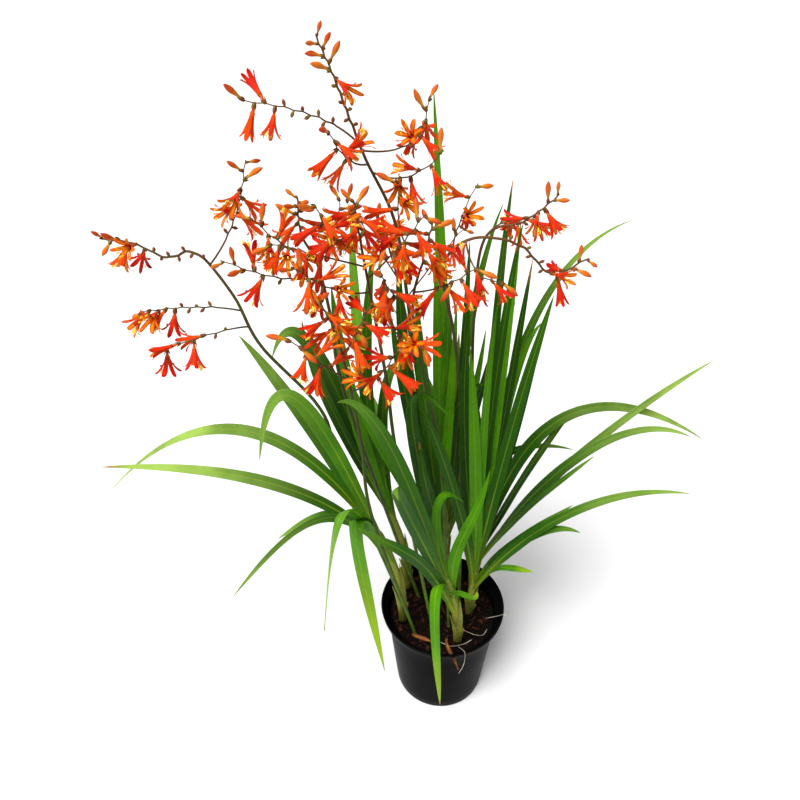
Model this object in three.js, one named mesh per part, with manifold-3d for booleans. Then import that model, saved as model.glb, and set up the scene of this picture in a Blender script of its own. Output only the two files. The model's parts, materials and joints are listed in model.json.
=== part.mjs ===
import * as THREE from "three";
import { mergeVertices } from "three/addons/utils/BufferGeometryUtils.js";
import Module from "manifold-3d";

const wasm = await Module();
wasm.setup();

// A crocosmia in a nursery pot. Sizes are millimetres, the pot stands on z = 0 and its axis is the z axis.
// The viewer's side is -y.

// Pot
const potSides = 24;
const potHeight = 186;
const baseRadius = 73;
const bodyTopRadius = 89;
const rimRadius = 100;
const lipHeight = 12;
const wall = 2;
const floorThickness = 3;
const drainHoles = 4;
const drainRadius = 6;
const drainCircle = 48;

// Soil. stemRoom and sheathRoom: how much wider the holes are than what stands in them.
const fitGap = 0.35;
const soilTop = 160;
const soilMound = 5;
const lumpHeight = 1.5;
const rootDepth = 30;
const stemRoom = 0.56;
const sheathRoom = 0.9;

// Leaves. The leaves of a fan lie in layers; crownShare is how far a leaf has come from the crown towards its
// bend where it lies in its own layer.
const leafThickness = 1.8;
const leafStations = [0, 9, 18, 27, 36, 44];
const leafSteps = 48;
const layerGap = 3.2;
const rootLayerGap = 0.256;
const crownShare = 0.2;
const sheathWidth = 17;
const sheathThickness = 7;
const sheathTaper = 0.55;
const sheathSides = 6;
const sheathSteps = 6;
const sheathShare = 0.75;

// Flower stems
const stemRadius = 3.4;
const stemTipRadius = 1.3;
const stemRings = 13;
const stemSides = 4;
const spikeRadius = 1.5;
const spikeTipRadius = 0.7;
const spikeRings = 4;
const spikeSides = 3;
const spikeBareShare = 0.3;

// Flowers
const petals = 6;
const tubeLength = 18;
const throatDepth = 11;
const throatRadius = 5.4;
const petalReach = 16;
const petalRise = 14;
const ribShare = 0.5;
const closedShare = 0.2;
const budSides = 4;
const budLength = 25;
const budRadius = 3.3;
const youngestBudLength = 12;
const youngestBudRadius = 2.1;
const bellyShare = 0.62;
const stubLength = 8;
const stubRadius = 1.9;

// Grown pieces of different shoots and sprays stay this far apart.
const clearance = 0.35;

// The point that a piece giving way moves towards or from.
const watcher = new THREE.Vector3(-69, -723, 1124);

const up = new THREE.Vector3(0, 0, 1);
const point = (p) => new THREE.Vector3(...p);

// A repeatable draw between 0 and 1.
function draw(seed) {
  const value = Math.sin(seed * 12.9898 + 4.1) * 43758.5453;
  return value - Math.floor(value);
}

// One closed solid from a geometry, turned right side out.
function solidOf(geometry) {
  const bare = geometry.index ? geometry.toNonIndexed() : geometry.clone();
  bare.deleteAttribute("normal");
  bare.deleteAttribute("uv");
  const merged = mergeVertices(bare, 1e-4);
  const vertProperties = merged.attributes.position.array;
  const triVerts = new Uint32Array(merged.index.array);
  const made = new wasm.Manifold(new wasm.Mesh({ numProp: 3, vertProperties, triVerts }));
  if (made.volume() > 0) return made;
  for (let i = 0; i < triVerts.length; i += 3) {
    [triVerts[i + 1], triVerts[i + 2]] = [triVerts[i + 2], triVerts[i + 1]];
  }
  return new wasm.Manifold(new wasm.Mesh({ numProp: 3, vertProperties, triVerts }));
}

// A solid from corner points and rows of three corner numbers.
function solidFromFaces(points, faces) {
  const geometry = new THREE.BufferGeometry().setFromPoints(points);
  geometry.setIndex(faces.flat());
  return solidOf(geometry);
}

// Two triangles for a side with four corners. They meet on the diagonal that stands further out from the
// middle of the span, so that both faces of a thin twisted blade bulge away from each other.
function splitSide(points, [a, b, c, d], middle) {
  const one = points[a].clone().add(points[c]);
  const other = points[b].clone().add(points[d]);
  const outwards = one.clone().add(other).divideScalar(4).sub(middle);
  return one.sub(other).dot(outwards) > 0 ? [[a, b, c], [a, c, d]] : [[a, b, d], [b, c, d]];
}

function middleOf(points) {
  const sum = new THREE.Vector3();
  points.forEach((p) => sum.add(p));
  return sum.divideScalar(points.length);
}

// A skin over rings of equal counts, with a flat root and, where a tip is given, a pointed end.
function skin(rings, tip) {
  const count = rings[0].length;
  const points = rings.flat();
  const faces = [];
  for (let r = 0; r + 1 < rings.length; r++) {
    const middle = middleOf([...rings[r], ...rings[r + 1]]);
    for (let k = 0; k < count; k++) {
      const a = r * count + k;
      const b = r * count + ((k + 1) % count);
      faces.push(...splitSide(points, [a, b, b + count, a + count], middle));
    }
  }
  const last = (rings.length - 1) * count;
  for (let k = 1; k + 1 < count; k++) {
    faces.push([0, k + 1, k]);
    if (!tip) faces.push([last, last + k, last + k + 1]);
  }
  if (tip) {
    points.push(tip);
    for (let k = 0; k < count; k++) faces.push([last + k, last + ((k + 1) % count), points.length - 1]);
  }
  return solidFromFaces(points, faces);
}

// Frames along a curve: the side direction is carried from step to step without spinning.
function carriedFrames(curve, steps, firstSide) {
  const frames = [];
  let side = firstSide.clone();
  for (let i = 0; i <= steps; i++) {
    const tangent = curve.getTangent(i / steps);
    side = side.clone().addScaledVector(tangent, -side.dot(tangent)).normalize();
    frames.push({ at: curve.getPoint(i / steps), tangent, side });
  }
  return frames;
}

// A round stem that thins towards its end.
function stemRingsOf(curve, steps, sides, firstRadius, lastRadius) {
  const frames = carriedFrames(curve, steps, new THREE.Vector3(1, 0.2, 0.1));
  return frames.map(({ at, tangent, side }, i) => {
    const across = tangent.clone().cross(side);
    const radius = firstRadius + (lastRadius - firstRadius) * (i / steps);
    return Array.from({ length: sides }, (_, k) => {
      const turn = (2 * Math.PI * k) / sides;
      return at
        .clone()
        .addScaledVector(side, radius * Math.cos(turn))
        .addScaledVector(across, radius * Math.sin(turn));
    });
  });
}

function stemSolid(curve, steps, sides, firstRadius, lastRadius) {
  return skin(stemRingsOf(curve, steps, sides, firstRadius, lastRadius));
}

// The middle of a faceted stem at a fraction of its curve.
function stemMiddle(curve, steps, u) {
  const ring = Math.min(steps - 1, Math.floor(u * steps));
  return curve.getPoint(ring / steps).lerp(curve.getPoint((ring + 1) / steps), u * steps - ring);
}

// The room that the foot of a main stem needs in the soil.
function stemHole(spray) {
  const [first, last] = [stemRadius + stemRoom, stemTipRadius + stemRoom];
  const rings = stemRingsOf(stemCurve(spray), stemRings, stemSides, first, last);
  rings[0].forEach((corner) => corner.addScaledVector(up, -stemRoom));
  return skin(rings.slice(0, 2));
}

// How wide a leaf is at a fraction of its length.
function leafSpread(u) {
  const rise = Math.min(1, u / 0.35);
  const shoulder = 0.35 + 0.65 * rise * rise * (3 - 2 * rise);
  return shoulder * Math.pow(1 - Math.pow(u, 2.6), 0.9);
}

// A sword leaf: a blade with a raised rib that twists towards its tip.
function leafSolid(leaf) {
  const curve = new THREE.CubicBezierCurve3(leaf.root, leaf.crown, leaf.bend, leaf.tip);
  const frames = carriedFrames(curve, leafSteps, leaf.side);
  const rings = leafStations.map((station) => {
    const { at, tangent, side } = frames[station];
    const u = station / leafSteps;
    const flat = side.clone().applyAxisAngle(tangent, leaf.twist * u);
    const across = tangent.clone().cross(flat);
    const half = 0.5 * leaf.width * leafSpread(u);
    const rib = leafThickness * (1 - 0.35 * u);
    return [
      at.clone().addScaledVector(flat, half),
      at.clone().addScaledVector(across, rib),
      at.clone().addScaledVector(flat, -half),
    ];
  });
  return skin(rings, leaf.tip);
}

function sheathRing(at, side, across, width, thickness) {
  return Array.from({ length: sheathSides }, (_, k) => {
    const turn = (2 * Math.PI * k) / sheathSides;
    return at
      .clone()
      .addScaledVector(side, 0.5 * width * Math.cos(turn))
      .addScaledVector(across, 0.5 * thickness * Math.sin(turn));
  });
}

// The middle of a shoot's sheath, from the soil to its crown. It leaves the soil upright.
function sheathCurve(fan) {
  const foot = new THREE.Vector3(...fan.foot, soilTop + soilMound);
  const crown = point(fan.crown);
  const handle = foot.clone().addScaledVector(up, 0.5 * (crown.z - soilTop));
  return new THREE.QuadraticBezierCurve3(foot, handle, crown);
}

function fanSide(fan) {
  const turn = THREE.MathUtils.degToRad(fan.facing);
  return new THREE.Vector3(Math.cos(turn), Math.sin(turn), 0);
}

// The room that a sheath needs in the soil.
function sheathHole(fan) {
  const side = fanSide(fan);
  const across = up.clone().cross(side);
  const low = new THREE.Vector3(...fan.foot, soilTop - rootDepth - fitGap);
  const high = new THREE.Vector3(...fan.foot, soilTop + rootDepth);
  const [width, thickness] = [sheathWidth + sheathRoom, sheathThickness + sheathRoom];
  return skin([low, high].map((at) => sheathRing(at, side, across, width, thickness)));
}

// The flattened sheath of a shoot, from below the soil to where its leaves have parted.
function sheathSolid(fan) {
  const side = fanSide(fan);
  const across = up.clone().cross(side);
  const parted = 1 + Math.round(sheathSteps * sheathShare);
  const frames = carriedFrames(sheathCurve(fan), sheathSteps, side).slice(0, parted);
  const low = new THREE.Vector3(...fan.foot, soilTop - rootDepth);
  const rings = frames.map(({ at, tangent, side: carried }, i) => {
    const size = 1 - sheathTaper * (i / sheathSteps);
    const beside = tangent.clone().cross(carried);
    return sheathRing(at, carried, beside, sheathWidth * size, sheathThickness * size);
  });
  return skin([sheathRing(low, side, across, sheathWidth, sheathThickness), ...rings]);
}

// A flower: a funnel that opens into petals, hollow at its throat, each petal with a raised middle.
function bloomSolid(bloom) {
  const { at, facing, size, open, roll } = bloom;
  const turnTo = new THREE.Quaternion().setFromUnitVectors(up, facing);
  const place = (radius, turn, height) =>
    new THREE.Vector3(radius * Math.cos(turn), radius * Math.sin(turn), height)
      .multiplyScalar(size)
      .applyQuaternion(turnTo)
      .add(at);
  const points = [place(0, 0, 0), place(0, 0, throatDepth)];
  const faces = [];
  const reach = petalReach * (0.4 + 0.6 * open);
  const rise = petalRise * (1.45 - 0.45 * open);
  for (let k = 0; k < petals; k++) {
    const middle = roll + (2 * Math.PI * k) / petals;
    const notch = middle - Math.PI / petals;
    points.push(
      place(throatRadius * (0.7 + 0.3 * open), notch, tubeLength),
      place(reach, middle, tubeLength + rise),
      place(ribShare * reach, middle, tubeLength + ribShare * rise),
    );
  }
  for (let k = 0; k < petals; k++) {
    const first = 2 + 3 * k;
    const next = 2 + 3 * ((k + 1) % petals);
    const [notch, tip, rib] = [first, first + 1, first + 2];
    faces.push([0, next, notch], [notch, next, tip]);
    faces.push([notch, tip, rib], [tip, next, rib], [notch, rib, 1], [rib, next, 1]);
  }
  return solidFromFaces(points, faces);
}

// A bud or an old flower's stub: a spindle on its stalk.
function budSolid(bud) {
  const { at, facing, length, radius } = bud;
  const side = new THREE.Vector3(0.3, 0.2, 1).cross(facing).normalize();
  const across = facing.clone().cross(side);
  const belly = at.clone().addScaledVector(facing, bellyShare * length);
  const ring = Array.from({ length: budSides }, (_, k) => {
    const turn = (2 * Math.PI * k) / budSides;
    return belly
      .clone()
      .addScaledVector(side, radius * Math.cos(turn))
      .addScaledVector(across, radius * Math.sin(turn));
  });
  const points = [at.clone(), at.clone().addScaledVector(facing, length), ...ring];
  const faces = [];
  for (let k = 0; k < budSides; k++) {
    const a = 2 + k;
    const b = 2 + ((k + 1) % budSides);
    faces.push([0, b, a], [1, a, b]);
  }
  return solidFromFaces(points, faces);
}

// Every grown piece that has its place, with its node's name.
const placed = [];

function apart(a, b) {
  return [0, 1, 2].some((i) => a.min[i] > b.max[i] + clearance || b.min[i] > a.max[i] + clearance);
}

function isClear(node, solid, kind) {
  const box = solid.boundingBox();
  return placed.every((other) => {
    const own = other.node === node;
    if (own && !(kind === "bloom" && other.kind === "bloom")) return true;
    if (apart(box, other.box)) return true;
    return solid.minGap(other.solid, 2 * clearance) >= clearance;
  });
}

function keep(node, solid, kind) {
  placed.push({ node, solid, kind, box: solid.boundingBox() });
}

// A piece takes the first of its places that is clear of the other shoots and sprays, or else is left off.
function settle(node, kind, places) {
  for (const make of places) {
    const { solid, result } = make();
    if (isClear(node, solid, kind)) {
      keep(node, solid, kind);
      return result ?? true;
    }
  }
  return false;
}

// Moves a point along the line to the watcher, so that it gives way in depth only.
function inDepth(p, distance) {
  const away = p.clone().sub(watcher).normalize();
  return p.clone().addScaledVector(away, distance);
}

const depthSteps = [0, 12, -12, 24, -24, 36, -36, 50, -50, 65, -65, 80, -80, 100, -100];

// Flower sprays. stem: points that the main stem goes through above its foot. branches: where each leaves
// the stem, the point it bends towards and its tip. ends: old stubs, open flowers and buds on each, the
// stem's own first.
const sprays = [
  {
    name: "spray_left",
    foot: [-48, 0],
    stem: [
      [-145, -15, 485], [-170, -15, 590], [-235, -10, 680], [-260, -5, 745], [-295, 0, 795], [-330, 0, 790],
      [-365, 5, 805], [-400, 5, 810],
    ],
    branches: [
      [0.58, [-240, 0, 830], [-230, 10, 895]],
      [0.46, [-290, -30, 750], [-360, -35, 740]],
      [0.42, [-265, -40, 725], [-335, -60, 705]],
    ],
    ends: [[7, 3, 3], [3, 4, 3], [5, 4, 1], [2, 4, 0]],
    stemEnd: 0.58,
  },
  {
    name: "spray_star",
    foot: [-30, 30],
    stem: [[-135, 5, 575], [-150, 0, 710], [-160, -10, 785], [-175, -15, 825], [-175, -15, 865]],
    branches: [
      [0.64, [-190, -40, 815], [-220, -45, 855]],
      [0.68, [-135, -30, 830], [-130, -20, 865]],
      [0.55, [-195, -60, 785], [-250, -70, 820]],
    ],
    ends: [[0, 3, 5], [0, 4, 2], [0, 4, 2], [3, 2, 3]],
    stemEnd: 0.82,
  },
  {
    name: "spray_top",
    foot: [0, 40],
    stem: [
      [-35, 45, 490], [-60, 35, 720], [-75, 30, 820], [-105, 25, 890], [-120, 25, 930], [-135, 20, 975],
      [-150, 20, 1010],
    ],
    branches: [
      [0.62, [-140, 10, 945], [-225, 0, 955]],
      [0.6, [-40, 30, 890], [-40, 35, 950]],
      [0.56, [-125, -5, 890], [-140, -10, 930]],
      [0.54, [-60, 0, 865], [-25, -10, 910]],
    ],
    ends: [[6, 1, 6], [7, 3, 1], [2, 4, 2], [1, 4, 1], [0, 4, 1]],
    stemEnd: 0.68,
  },
  {
    name: "spray_middle",
    foot: [-12, -28],
    stem: [[-70, -40, 510], [-85, -50, 660], [-100, -50, 765], [-110, -45, 830], [-115, -40, 870]],
    branches: [
      [0.62, [-135, -80, 780], [-175, -95, 825]],
      [0.66, [-70, -70, 830], [-45, -75, 870]],
      [0.74, [-140, -70, 840], [-150, -75, 880]],
      [0.58, [-70, -95, 735], [-45, -110, 745]],
      [0.7, [-170, -60, 825], [-200, -65, 835]],
    ],
    ends: [[1, 5, 2], [1, 5, 2], [0, 6, 2], [0, 5, 1], [0, 5, 1], [0, 5, 1]],
    stemEnd: 0.8,
  },
  {
    name: "spray_low",
    foot: [-38, -40],
    stem: [[-105, -60, 435], [-115, -75, 575], [-125, -85, 675], [-135, -95, 745], [-150, -100, 790]],
    branches: [
      [0.62, [-150, -115, 720], [-180, -125, 760]],
      [0.58, [-90, -110, 695], [-70, -115, 745]],
      [0.7, [-120, -115, 750], [-95, -120, 800]],
    ],
    ends: [[0, 5, 2], [0, 5, 1], [0, 5, 1], [0, 5, 1]],
    stemEnd: 0.78,
  },
  {
    name: "spray_inner",
    foot: [12, -30],
    stem: [[-15, -40, 510], [-40, -45, 655], [-55, -45, 750], [-45, -40, 805], [-35, -35, 845]],
    branches: [
      [0.62, [-80, -85, 780], [-90, -95, 825]],
      [0.66, [-20, -60, 780], [10, -65, 810]],
      [0.72, [-75, -30, 830], [-70, -20, 885]],
    ],
    ends: [[0, 6, 2], [0, 5, 2], [0, 5, 1], [0, 5, 1]],
    stemEnd: 0.78,
  },
  {
    name: "spray_right",
    foot: [30, 10],
    stem: [
      [15, 10, 500], [0, 5, 665], [-20, 0, 775], [10, 5, 810], [65, 10, 800], [105, 10, 765], [145, 10, 785],
    ],
    branches: [
      [0.55, [10, -25, 770], [45, -30, 775]],
      [0.5, [-10, 40, 800], [20, 70, 850]],
    ],
    ends: [[6, 3, 3], [0, 3, 1], [2, 3, 1]],
    stemEnd: 0.66,
  },
  {
    name: "spray_far_right",
    foot: [28, 48],
    stem: [[30, 60, 515], [25, 55, 680], [30, 50, 790], [75, 45, 815], [110, 45, 845]],
    branches: [
      [0.62, [50, 90, 800], [100, 125, 785]],
    ],
    ends: [[4, 4, 3], [2, 3, 1]],
    stemEnd: 0.68,
  },
  {
    name: "spray_back",
    foot: [-18, 58],
    stem: [[-35, 80, 470], [-55, 110, 620], [-80, 150, 720], [-105, 195, 770]],
    branches: [
      [0.6, [-20, 150, 720], [20, 185, 750]],
      [0.68, [-110, 120, 770], [-140, 150, 800]],
    ],
    ends: [[2, 4, 2], [1, 3, 2], [1, 3, 1]],
    stemEnd: 0.7,
  },
];

// Leaf fans. facing: the turn of the fan's plane. low and high: how far up the sheath the first and last leaf
// leave it. leaves: the point each bends towards, its tip, its width and its twist in degrees.
const fans = [
  {
    name: "fan_left",
    foot: [-64, -24],
    crown: [-135, -45, 475],
    facing: 0,
    low: 0.45,
    high: 0.68,
    leaves: [
      [[-140, -125, 570], [-90, -165, 250], 26, 20],
      [[-145, -115, 585], [-170, -150, 320], 20, 20],
      [[-185, -80, 495], [-295, -120, 350], 16, 40],
      [[-185, -30, 420], [-250, -10, 345], 15, 50],
      [[-285, -50, 530], [-465, -30, 505], 18, 70],
      [[-280, 10, 655], [-485, 20, 420], 18, 60],
      [[-210, -20, 630], [-260, -10, 695], 20, 20],
      [[-205, -60, 780], [-240, -80, 560], 20, 50],
    ],
  },
  {
    name: "fan_left_back",
    foot: [-55, 42],
    crown: [-125, 50, 440],
    facing: 20,
    low: 0.4,
    high: 0.68,
    leaves: [
      [[-150, 120, 600], [-180, 200, 560], 16, 60],
      [[-90, 110, 475], [-115, 190, 465], 16, 50],
      [[-185, 10, 790], [-230, 15, 645], 22, 30],
      [[-145, 20, 640], [-150, 20, 745], 21, 15],
      [[-185, 0, 630], [-185, 0, 710], 16, 20],
      [[-120, 50, 635], [-100, 60, 780], 21, 10],
    ],
  },
  {
    name: "fan_front",
    foot: [21, -62],
    crown: [-30, -85, 400],
    facing: -10,
    low: 0.2,
    high: 0.68,
    leaves: [
      [[45, -80, 260], [40, -85, 320], 13, 20],
      [[-45, -115, 420], [-120, -130, 495], 20, 60],
      [[30, -75, 415], [45, -60, 525], 18, 20],
      [[-45, -110, 445], [-70, -115, 535], 16, 20],
      [[-90, -135, 615], [-70, -165, 575], 20, 60],
      [[-35, -75, 540], [15, -60, 470], 15, 50],
      [[-85, -120, 700], [-135, -130, 685], 20, 40],
      [[-25, -150, 345], [-7, -130, 103], 15, 10],
    ],
  },
  {
    name: "fan_right",
    foot: [44, -8],
    crown: [50, -10, 310],
    facing: 5,
    low: 0.35,
    high: 0.68,
    leaves: [
      [[135, -30, 415], [185, -40, 390], 16, 60],
      [[180, -40, 495], [310, -60, 485], 15, 70],
      [[135, -5, 365], [180, 0, 405], 13, 40],
      [[95, -20, 295], [130, -30, 295], 13, 40],
      [[-20, -45, 565], [-45, -55, 625], 18, 20],
      [[5, 10, 550], [15, 15, 710], 20, 12],
      [[30, -15, 540], [15, -10, 680], 20, 10],
      [[85, 0, 615], [110, 5, 740], 20, 15],
      [[65, 30, 620], [70, 45, 815], 18, 10],
      [[50, 15, 690], [70, 30, 820], 14, 10],
      [[35, -10, 630], [45, 0, 735], 14, 20],
    ],
  },
  {
    name: "fan_right_back",
    foot: [52, 38],
    crown: [70, 45, 330],
    facing: 25,
    low: 0.35,
    high: 0.68,
    leaves: [
      [[160, 10, 445], [200, 10, 490], 11, 50],
      [[205, 20, 585], [330, 20, 515], 18, 60],
      [[110, 60, 660], [375, 70, 470], 22, 50],
      [[230, 60, 515], [350, 60, 615], 16, 60],
      [[140, 60, 475], [180, 65, 535], 15, 30],
      [[85, 90, 630], [125, 100, 650], 13, 50],
      [[75, 130, 725], [240, 170, 765], 13, 60],
      [[55, 110, 645], [70, 130, 835], 18, 10],
      [[105, 60, 540], [115, 55, 665], 13, 20],
      [[85, 70, 625], [95, 75, 755], 14, 15],
    ],
  },
  {
    name: "fan_centre",
    foot: [-6, 8],
    crown: [-10, 5, 410],
    facing: 0,
    low: 0.3,
    high: 0.68,
    leaves: [
      [[-100, -60, 730], [-15, -115, 655], 20, 40],
      [[-15, 40, 610], [55, 50, 580], 13, 60],
      [[-105, -40, 545], [-125, -45, 650], 21, 15],
      [[-65, -15, 590], [-80, -10, 725], 21, 10],
      [[-45, -5, 630], [-50, 0, 745], 21, 10],
      [[-75, 30, 620], [-70, 40, 780], 21, 10],
      [[-35, -50, 455], [-45, -50, 565], 20, 20],
      [[-5, 40, 595], [-10, 50, 730], 21, 15],
      [[0, 20, 600], [0, 35, 715], 14, 15],
    ],
  },
  {
    name: "fan_back",
    foot: [6, 64],
    crown: [10, 85, 375],
    facing: 30,
    low: 0.35,
    high: 0.68,
    leaves: [
      [[15, 180, 460], [55, 300, 405], 16, 60],
      [[80, 90, 470], [200, 105, 420], 15, 60],
      [[20, 140, 675], [65, 155, 795], 15, 20],
      [[-15, 130, 755], [-30, 145, 935], 21, 8],
      [[45, 125, 520], [55, 150, 610], 14, 20],
      [[20, 100, 650], [20, 115, 760], 14, 15],
    ],
  },
];

// Leaves that fill the fans behind, by a rule: the heading that they spread about and how many.
const fills = {
  fan_left_back: [80, 2],
  fan_right_back: [85, 2],
  fan_centre: [95, 2],
  fan_back: [90, 5],
};

// A fill leaf. A long one droops at its tip, and a short one rises all the way.
function fillLeaf(fan, fanNumber, k) {
  const [heading, count] = fills[fan.name];
  const seed = 100 * fanNumber + 7 * k;
  const rank = k - 0.5 * (count - 1);
  const turn = THREE.MathUtils.degToRad(heading + 24 * rank + 14 * (draw(seed) - 0.5));
  const crown = point(fan.crown);
  const reach = 60 + 190 * draw(seed + 1);
  const height = 120 + 140 * draw(seed + 2);
  const droop = reach > 150 ? 120 : -70;
  const out = new THREE.Vector3(Math.cos(turn), Math.sin(turn), 0);
  const bend = crown.clone().addScaledVector(out, 0.5 * reach).addScaledVector(up, height);
  const tip = crown.clone().addScaledVector(out, reach).addScaledVector(up, height - droop);
  return [bend.toArray(), tip.toArray(), 14 + 6 * draw(seed + 3), 50 * draw(seed + 4)];
}

// The path of a spray's main stem, from in the soil to its tip.
function stemCurve(spray) {
  const [x, y] = spray.foot;
  const points = [[x, y, soilTop - rootDepth], ...spray.stem];
  return new THREE.CatmullRomCurve3(points.map(point), false, "catmullrom", 0.5);
}

function branchCurve(stem, [from, bend, tip], shift) {
  return new THREE.QuadraticBezierCurve3(
    stemMiddle(stem, stemRings, from),
    inDepth(point(bend), shift),
    inDepth(point(tip), shift),
  );
}

// Across an end that rises straight up, the flowers stand in the ranks that the viewer sees side by side.
function acrossEnd(curve, from) {
  const across = up.clone().cross(curve.getPoint(1).sub(curve.getPoint(from)));
  return across.length() < 20 ? new THREE.Vector3(0, -1, 0) : across.normalize();
}

// Stubs, flowers and buds in two ranks along one end of a spray. Each leans out from the stem, on along it,
// up or down by a draw, flowers more often down, and a little to the viewer's side. The buds get younger
// towards the tip.
function florets(curve, rings, from, [stubs, blooms, buds], seed) {
  const along = [];
  const total = stubs + blooms + buds;
  const across = acrossEnd(curve, from);
  const nearer = new THREE.Vector3(0, -0.2, 0);
  for (let i = 0; i < total; i++) {
    const u = from + (1 - from) * Math.min(0.985, (i + 0.7) / total);
    const tangent = curve.getTangent(u);
    const rankTurn = 1.5 * (draw(seed + i + 0.5) - 0.5);
    const side = tangent.clone().cross(across).normalize().applyAxisAngle(tangent, rankTurn);
    const hand = i % 2 === 0 ? 1 : -1;
    const kind = i < stubs ? "stub" : i < stubs + blooms ? "bloom" : "bud";
    const facing = tangent
      .clone()
      .multiplyScalar(kind === "bud" ? 0.6 : 0.3)
      .addScaledVector(side, 0.85 * hand)
      .addScaledVector(up, (kind === "bloom" ? -1.3 : -0.4) + draw(seed + i))
      .add(nearer)
      .normalize();
    const youth = kind === "bud" ? (i - stubs - blooms) / Math.max(1, buds) : 0;
    along.push({ kind, at: stemMiddle(curve, rings, u), tangent, facing, youth, seed: seed + 31 * i });
  }
  return along;
}

const rollSteps = [0, 25, -25, 50, -50, 80, -80, 115, -115].map(THREE.MathUtils.degToRad);

// A floret rolls about its stem until it is clear, and a flower without room is still a bud.
function placeFloret(node, floret) {
  const { kind, at, seed, youth } = floret;
  const turned = (angle) => floret.facing.clone().applyAxisAngle(floret.tangent, angle);
  const size = 0.92 + 0.16 * draw(seed + 1);
  const open = draw(seed + 2) < closedShare ? 0.25 : 0.75 + 0.25 * draw(seed + 3);
  const roll = 6 * draw(seed + 4);
  const length = kind === "stub" ? stubLength : THREE.MathUtils.lerp(budLength, youngestBudLength, youth);
  const radius = kind === "stub" ? stubRadius : THREE.MathUtils.lerp(budRadius, youngestBudRadius, youth);
  const blooms = rollSteps.map((angle) => () => {
    return { solid: bloomSolid({ at, facing: turned(angle), size, open, roll }) };
  });
  const buds = rollSteps.map((angle) => () => {
    return { solid: budSolid({ at, facing: turned(angle), length, radius }) };
  });
  settle(node, kind === "bloom" ? "bloom" : "bud", kind === "bloom" ? [...blooms, ...buds] : buds);
}

// A body turned about the pot's axis from the (radius, height) corners of half its section.
function lathe(profile) {
  const corners = [...profile, profile[0]].map(([r, z]) => new THREE.Vector2(r, z));
  return new THREE.LatheGeometry(corners, potSides).rotateX(Math.PI / 2);
}

// The pot: floor, tapered wall and rolled lip, with drain holes through its floor.
function potSolid() {
  const lipBottom = potHeight - lipHeight;
  const profile = [
    [0, 0],
    [baseRadius - 2, 0],
    [baseRadius, 2],
    [bodyTopRadius, lipBottom - 6],
    [bodyTopRadius + 1, lipBottom],
    [rimRadius - 2, lipBottom + 2],
    [rimRadius - 0.5, potHeight - 2],
    [rimRadius - 1.5, potHeight],
    [rimRadius - 4, potHeight - 0.5],
    [rimRadius - 5, lipBottom + 5],
    [bodyTopRadius - wall, lipBottom],
    [baseRadius - wall, floorThickness],
    [0, floorThickness],
  ];
  let pot = solidOf(lathe(profile));
  for (let k = 0; k < drainHoles; k++) {
    const turn = (2 * Math.PI * k) / drainHoles;
    const length = 6 * floorThickness;
    const hole = new THREE.CylinderGeometry(drainRadius, drainRadius, length, 8).rotateX(Math.PI / 2);
    hole.translate(drainCircle * Math.cos(turn), drainCircle * Math.sin(turn), 0);
    pot = pot.subtract(solidOf(hole));
  }
  return pot;
}

// The soil fills the pot, lumpy on top, with a plain hole for every shoot and stem.
function soilSolid() {
  const bottom = floorThickness + fitGap;
  const slope = (bodyTopRadius - baseRadius) / (potHeight - lipHeight);
  const inner = (z) => baseRadius - wall - fitGap + slope * (z - floorThickness);
  const edge = inner(soilTop);
  const profile = [[0, bottom], [inner(bottom) - 0.3, bottom], [edge - 0.6, soilTop]];
  for (const share of [0.78, 0.48]) profile.push([edge * share, soilTop + soilMound * (1 - share)]);
  profile.push([0, soilTop + soilMound]);
  const ground = lathe(profile);
  const corners = ground.attributes.position;
  for (let i = 0; i < corners.count; i++) {
    const [x, y, z] = [corners.getX(i), corners.getY(i), corners.getZ(i)];
    const radius = Math.hypot(x, y);
    if (z < soilTop - 1 || radius > edge - 2) continue;
    const lump = Math.sin(0.21 * x + 1.3) * Math.cos(0.27 * y - 0.4) + Math.sin(0.5 * x - 0.37 * y);
    corners.setZ(i, z + lumpHeight * lump);
  }
  let soil = solidOf(ground);
  for (const fan of fans) soil = soil.subtract(sheathHole(fan));
  for (const spray of sprays) soil = soil.subtract(stemHole(spray));
  return soil;
}

// Each end of a spray that carries flowers: the main stem's and each branch's.
const ends = [];
for (const spray of sprays) {
  const solid = stemSolid(stemCurve(spray), stemRings, stemSides, stemRadius, stemTipRadius);
  keep(spray.name, solid, "stem");
}
for (const [n, spray] of sprays.entries()) {
  const stem = stemCurve(spray);
  const node = spray.name;
  const from = spray.stemEnd;
  ends.push({ node, curve: stem, rings: stemRings, from, counts: spray.ends[0], seed: 500 * n });
  for (const [k, branch] of spray.branches.entries()) {
    const places = depthSteps.map((shift) => () => {
      const curve = branchCurve(stem, branch, shift);
      return { solid: stemSolid(curve, spikeRings, spikeSides, spikeRadius, spikeTipRadius), result: curve };
    });
    const curve = settle(node, "stem", places);
    if (!curve) continue;
    const seed = 500 * n + 97 * (k + 1);
    ends.push({ node, curve, rings: spikeRings, from: spikeBareShare, counts: spray.ends[k + 1], seed });
  }
}
for (const { node, curve, rings, from, counts, seed } of ends) {
  for (const floret of florets(curve, rings, from, counts, seed)) placeFloret(node, floret);
}
for (const fan of fans) keep(fan.name, sheathSolid(fan), "sheath");
const pot = potSolid();
const soil = soilSolid();
keep("pot", pot, "pot");
keep("soil", soil, "soil");
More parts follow.
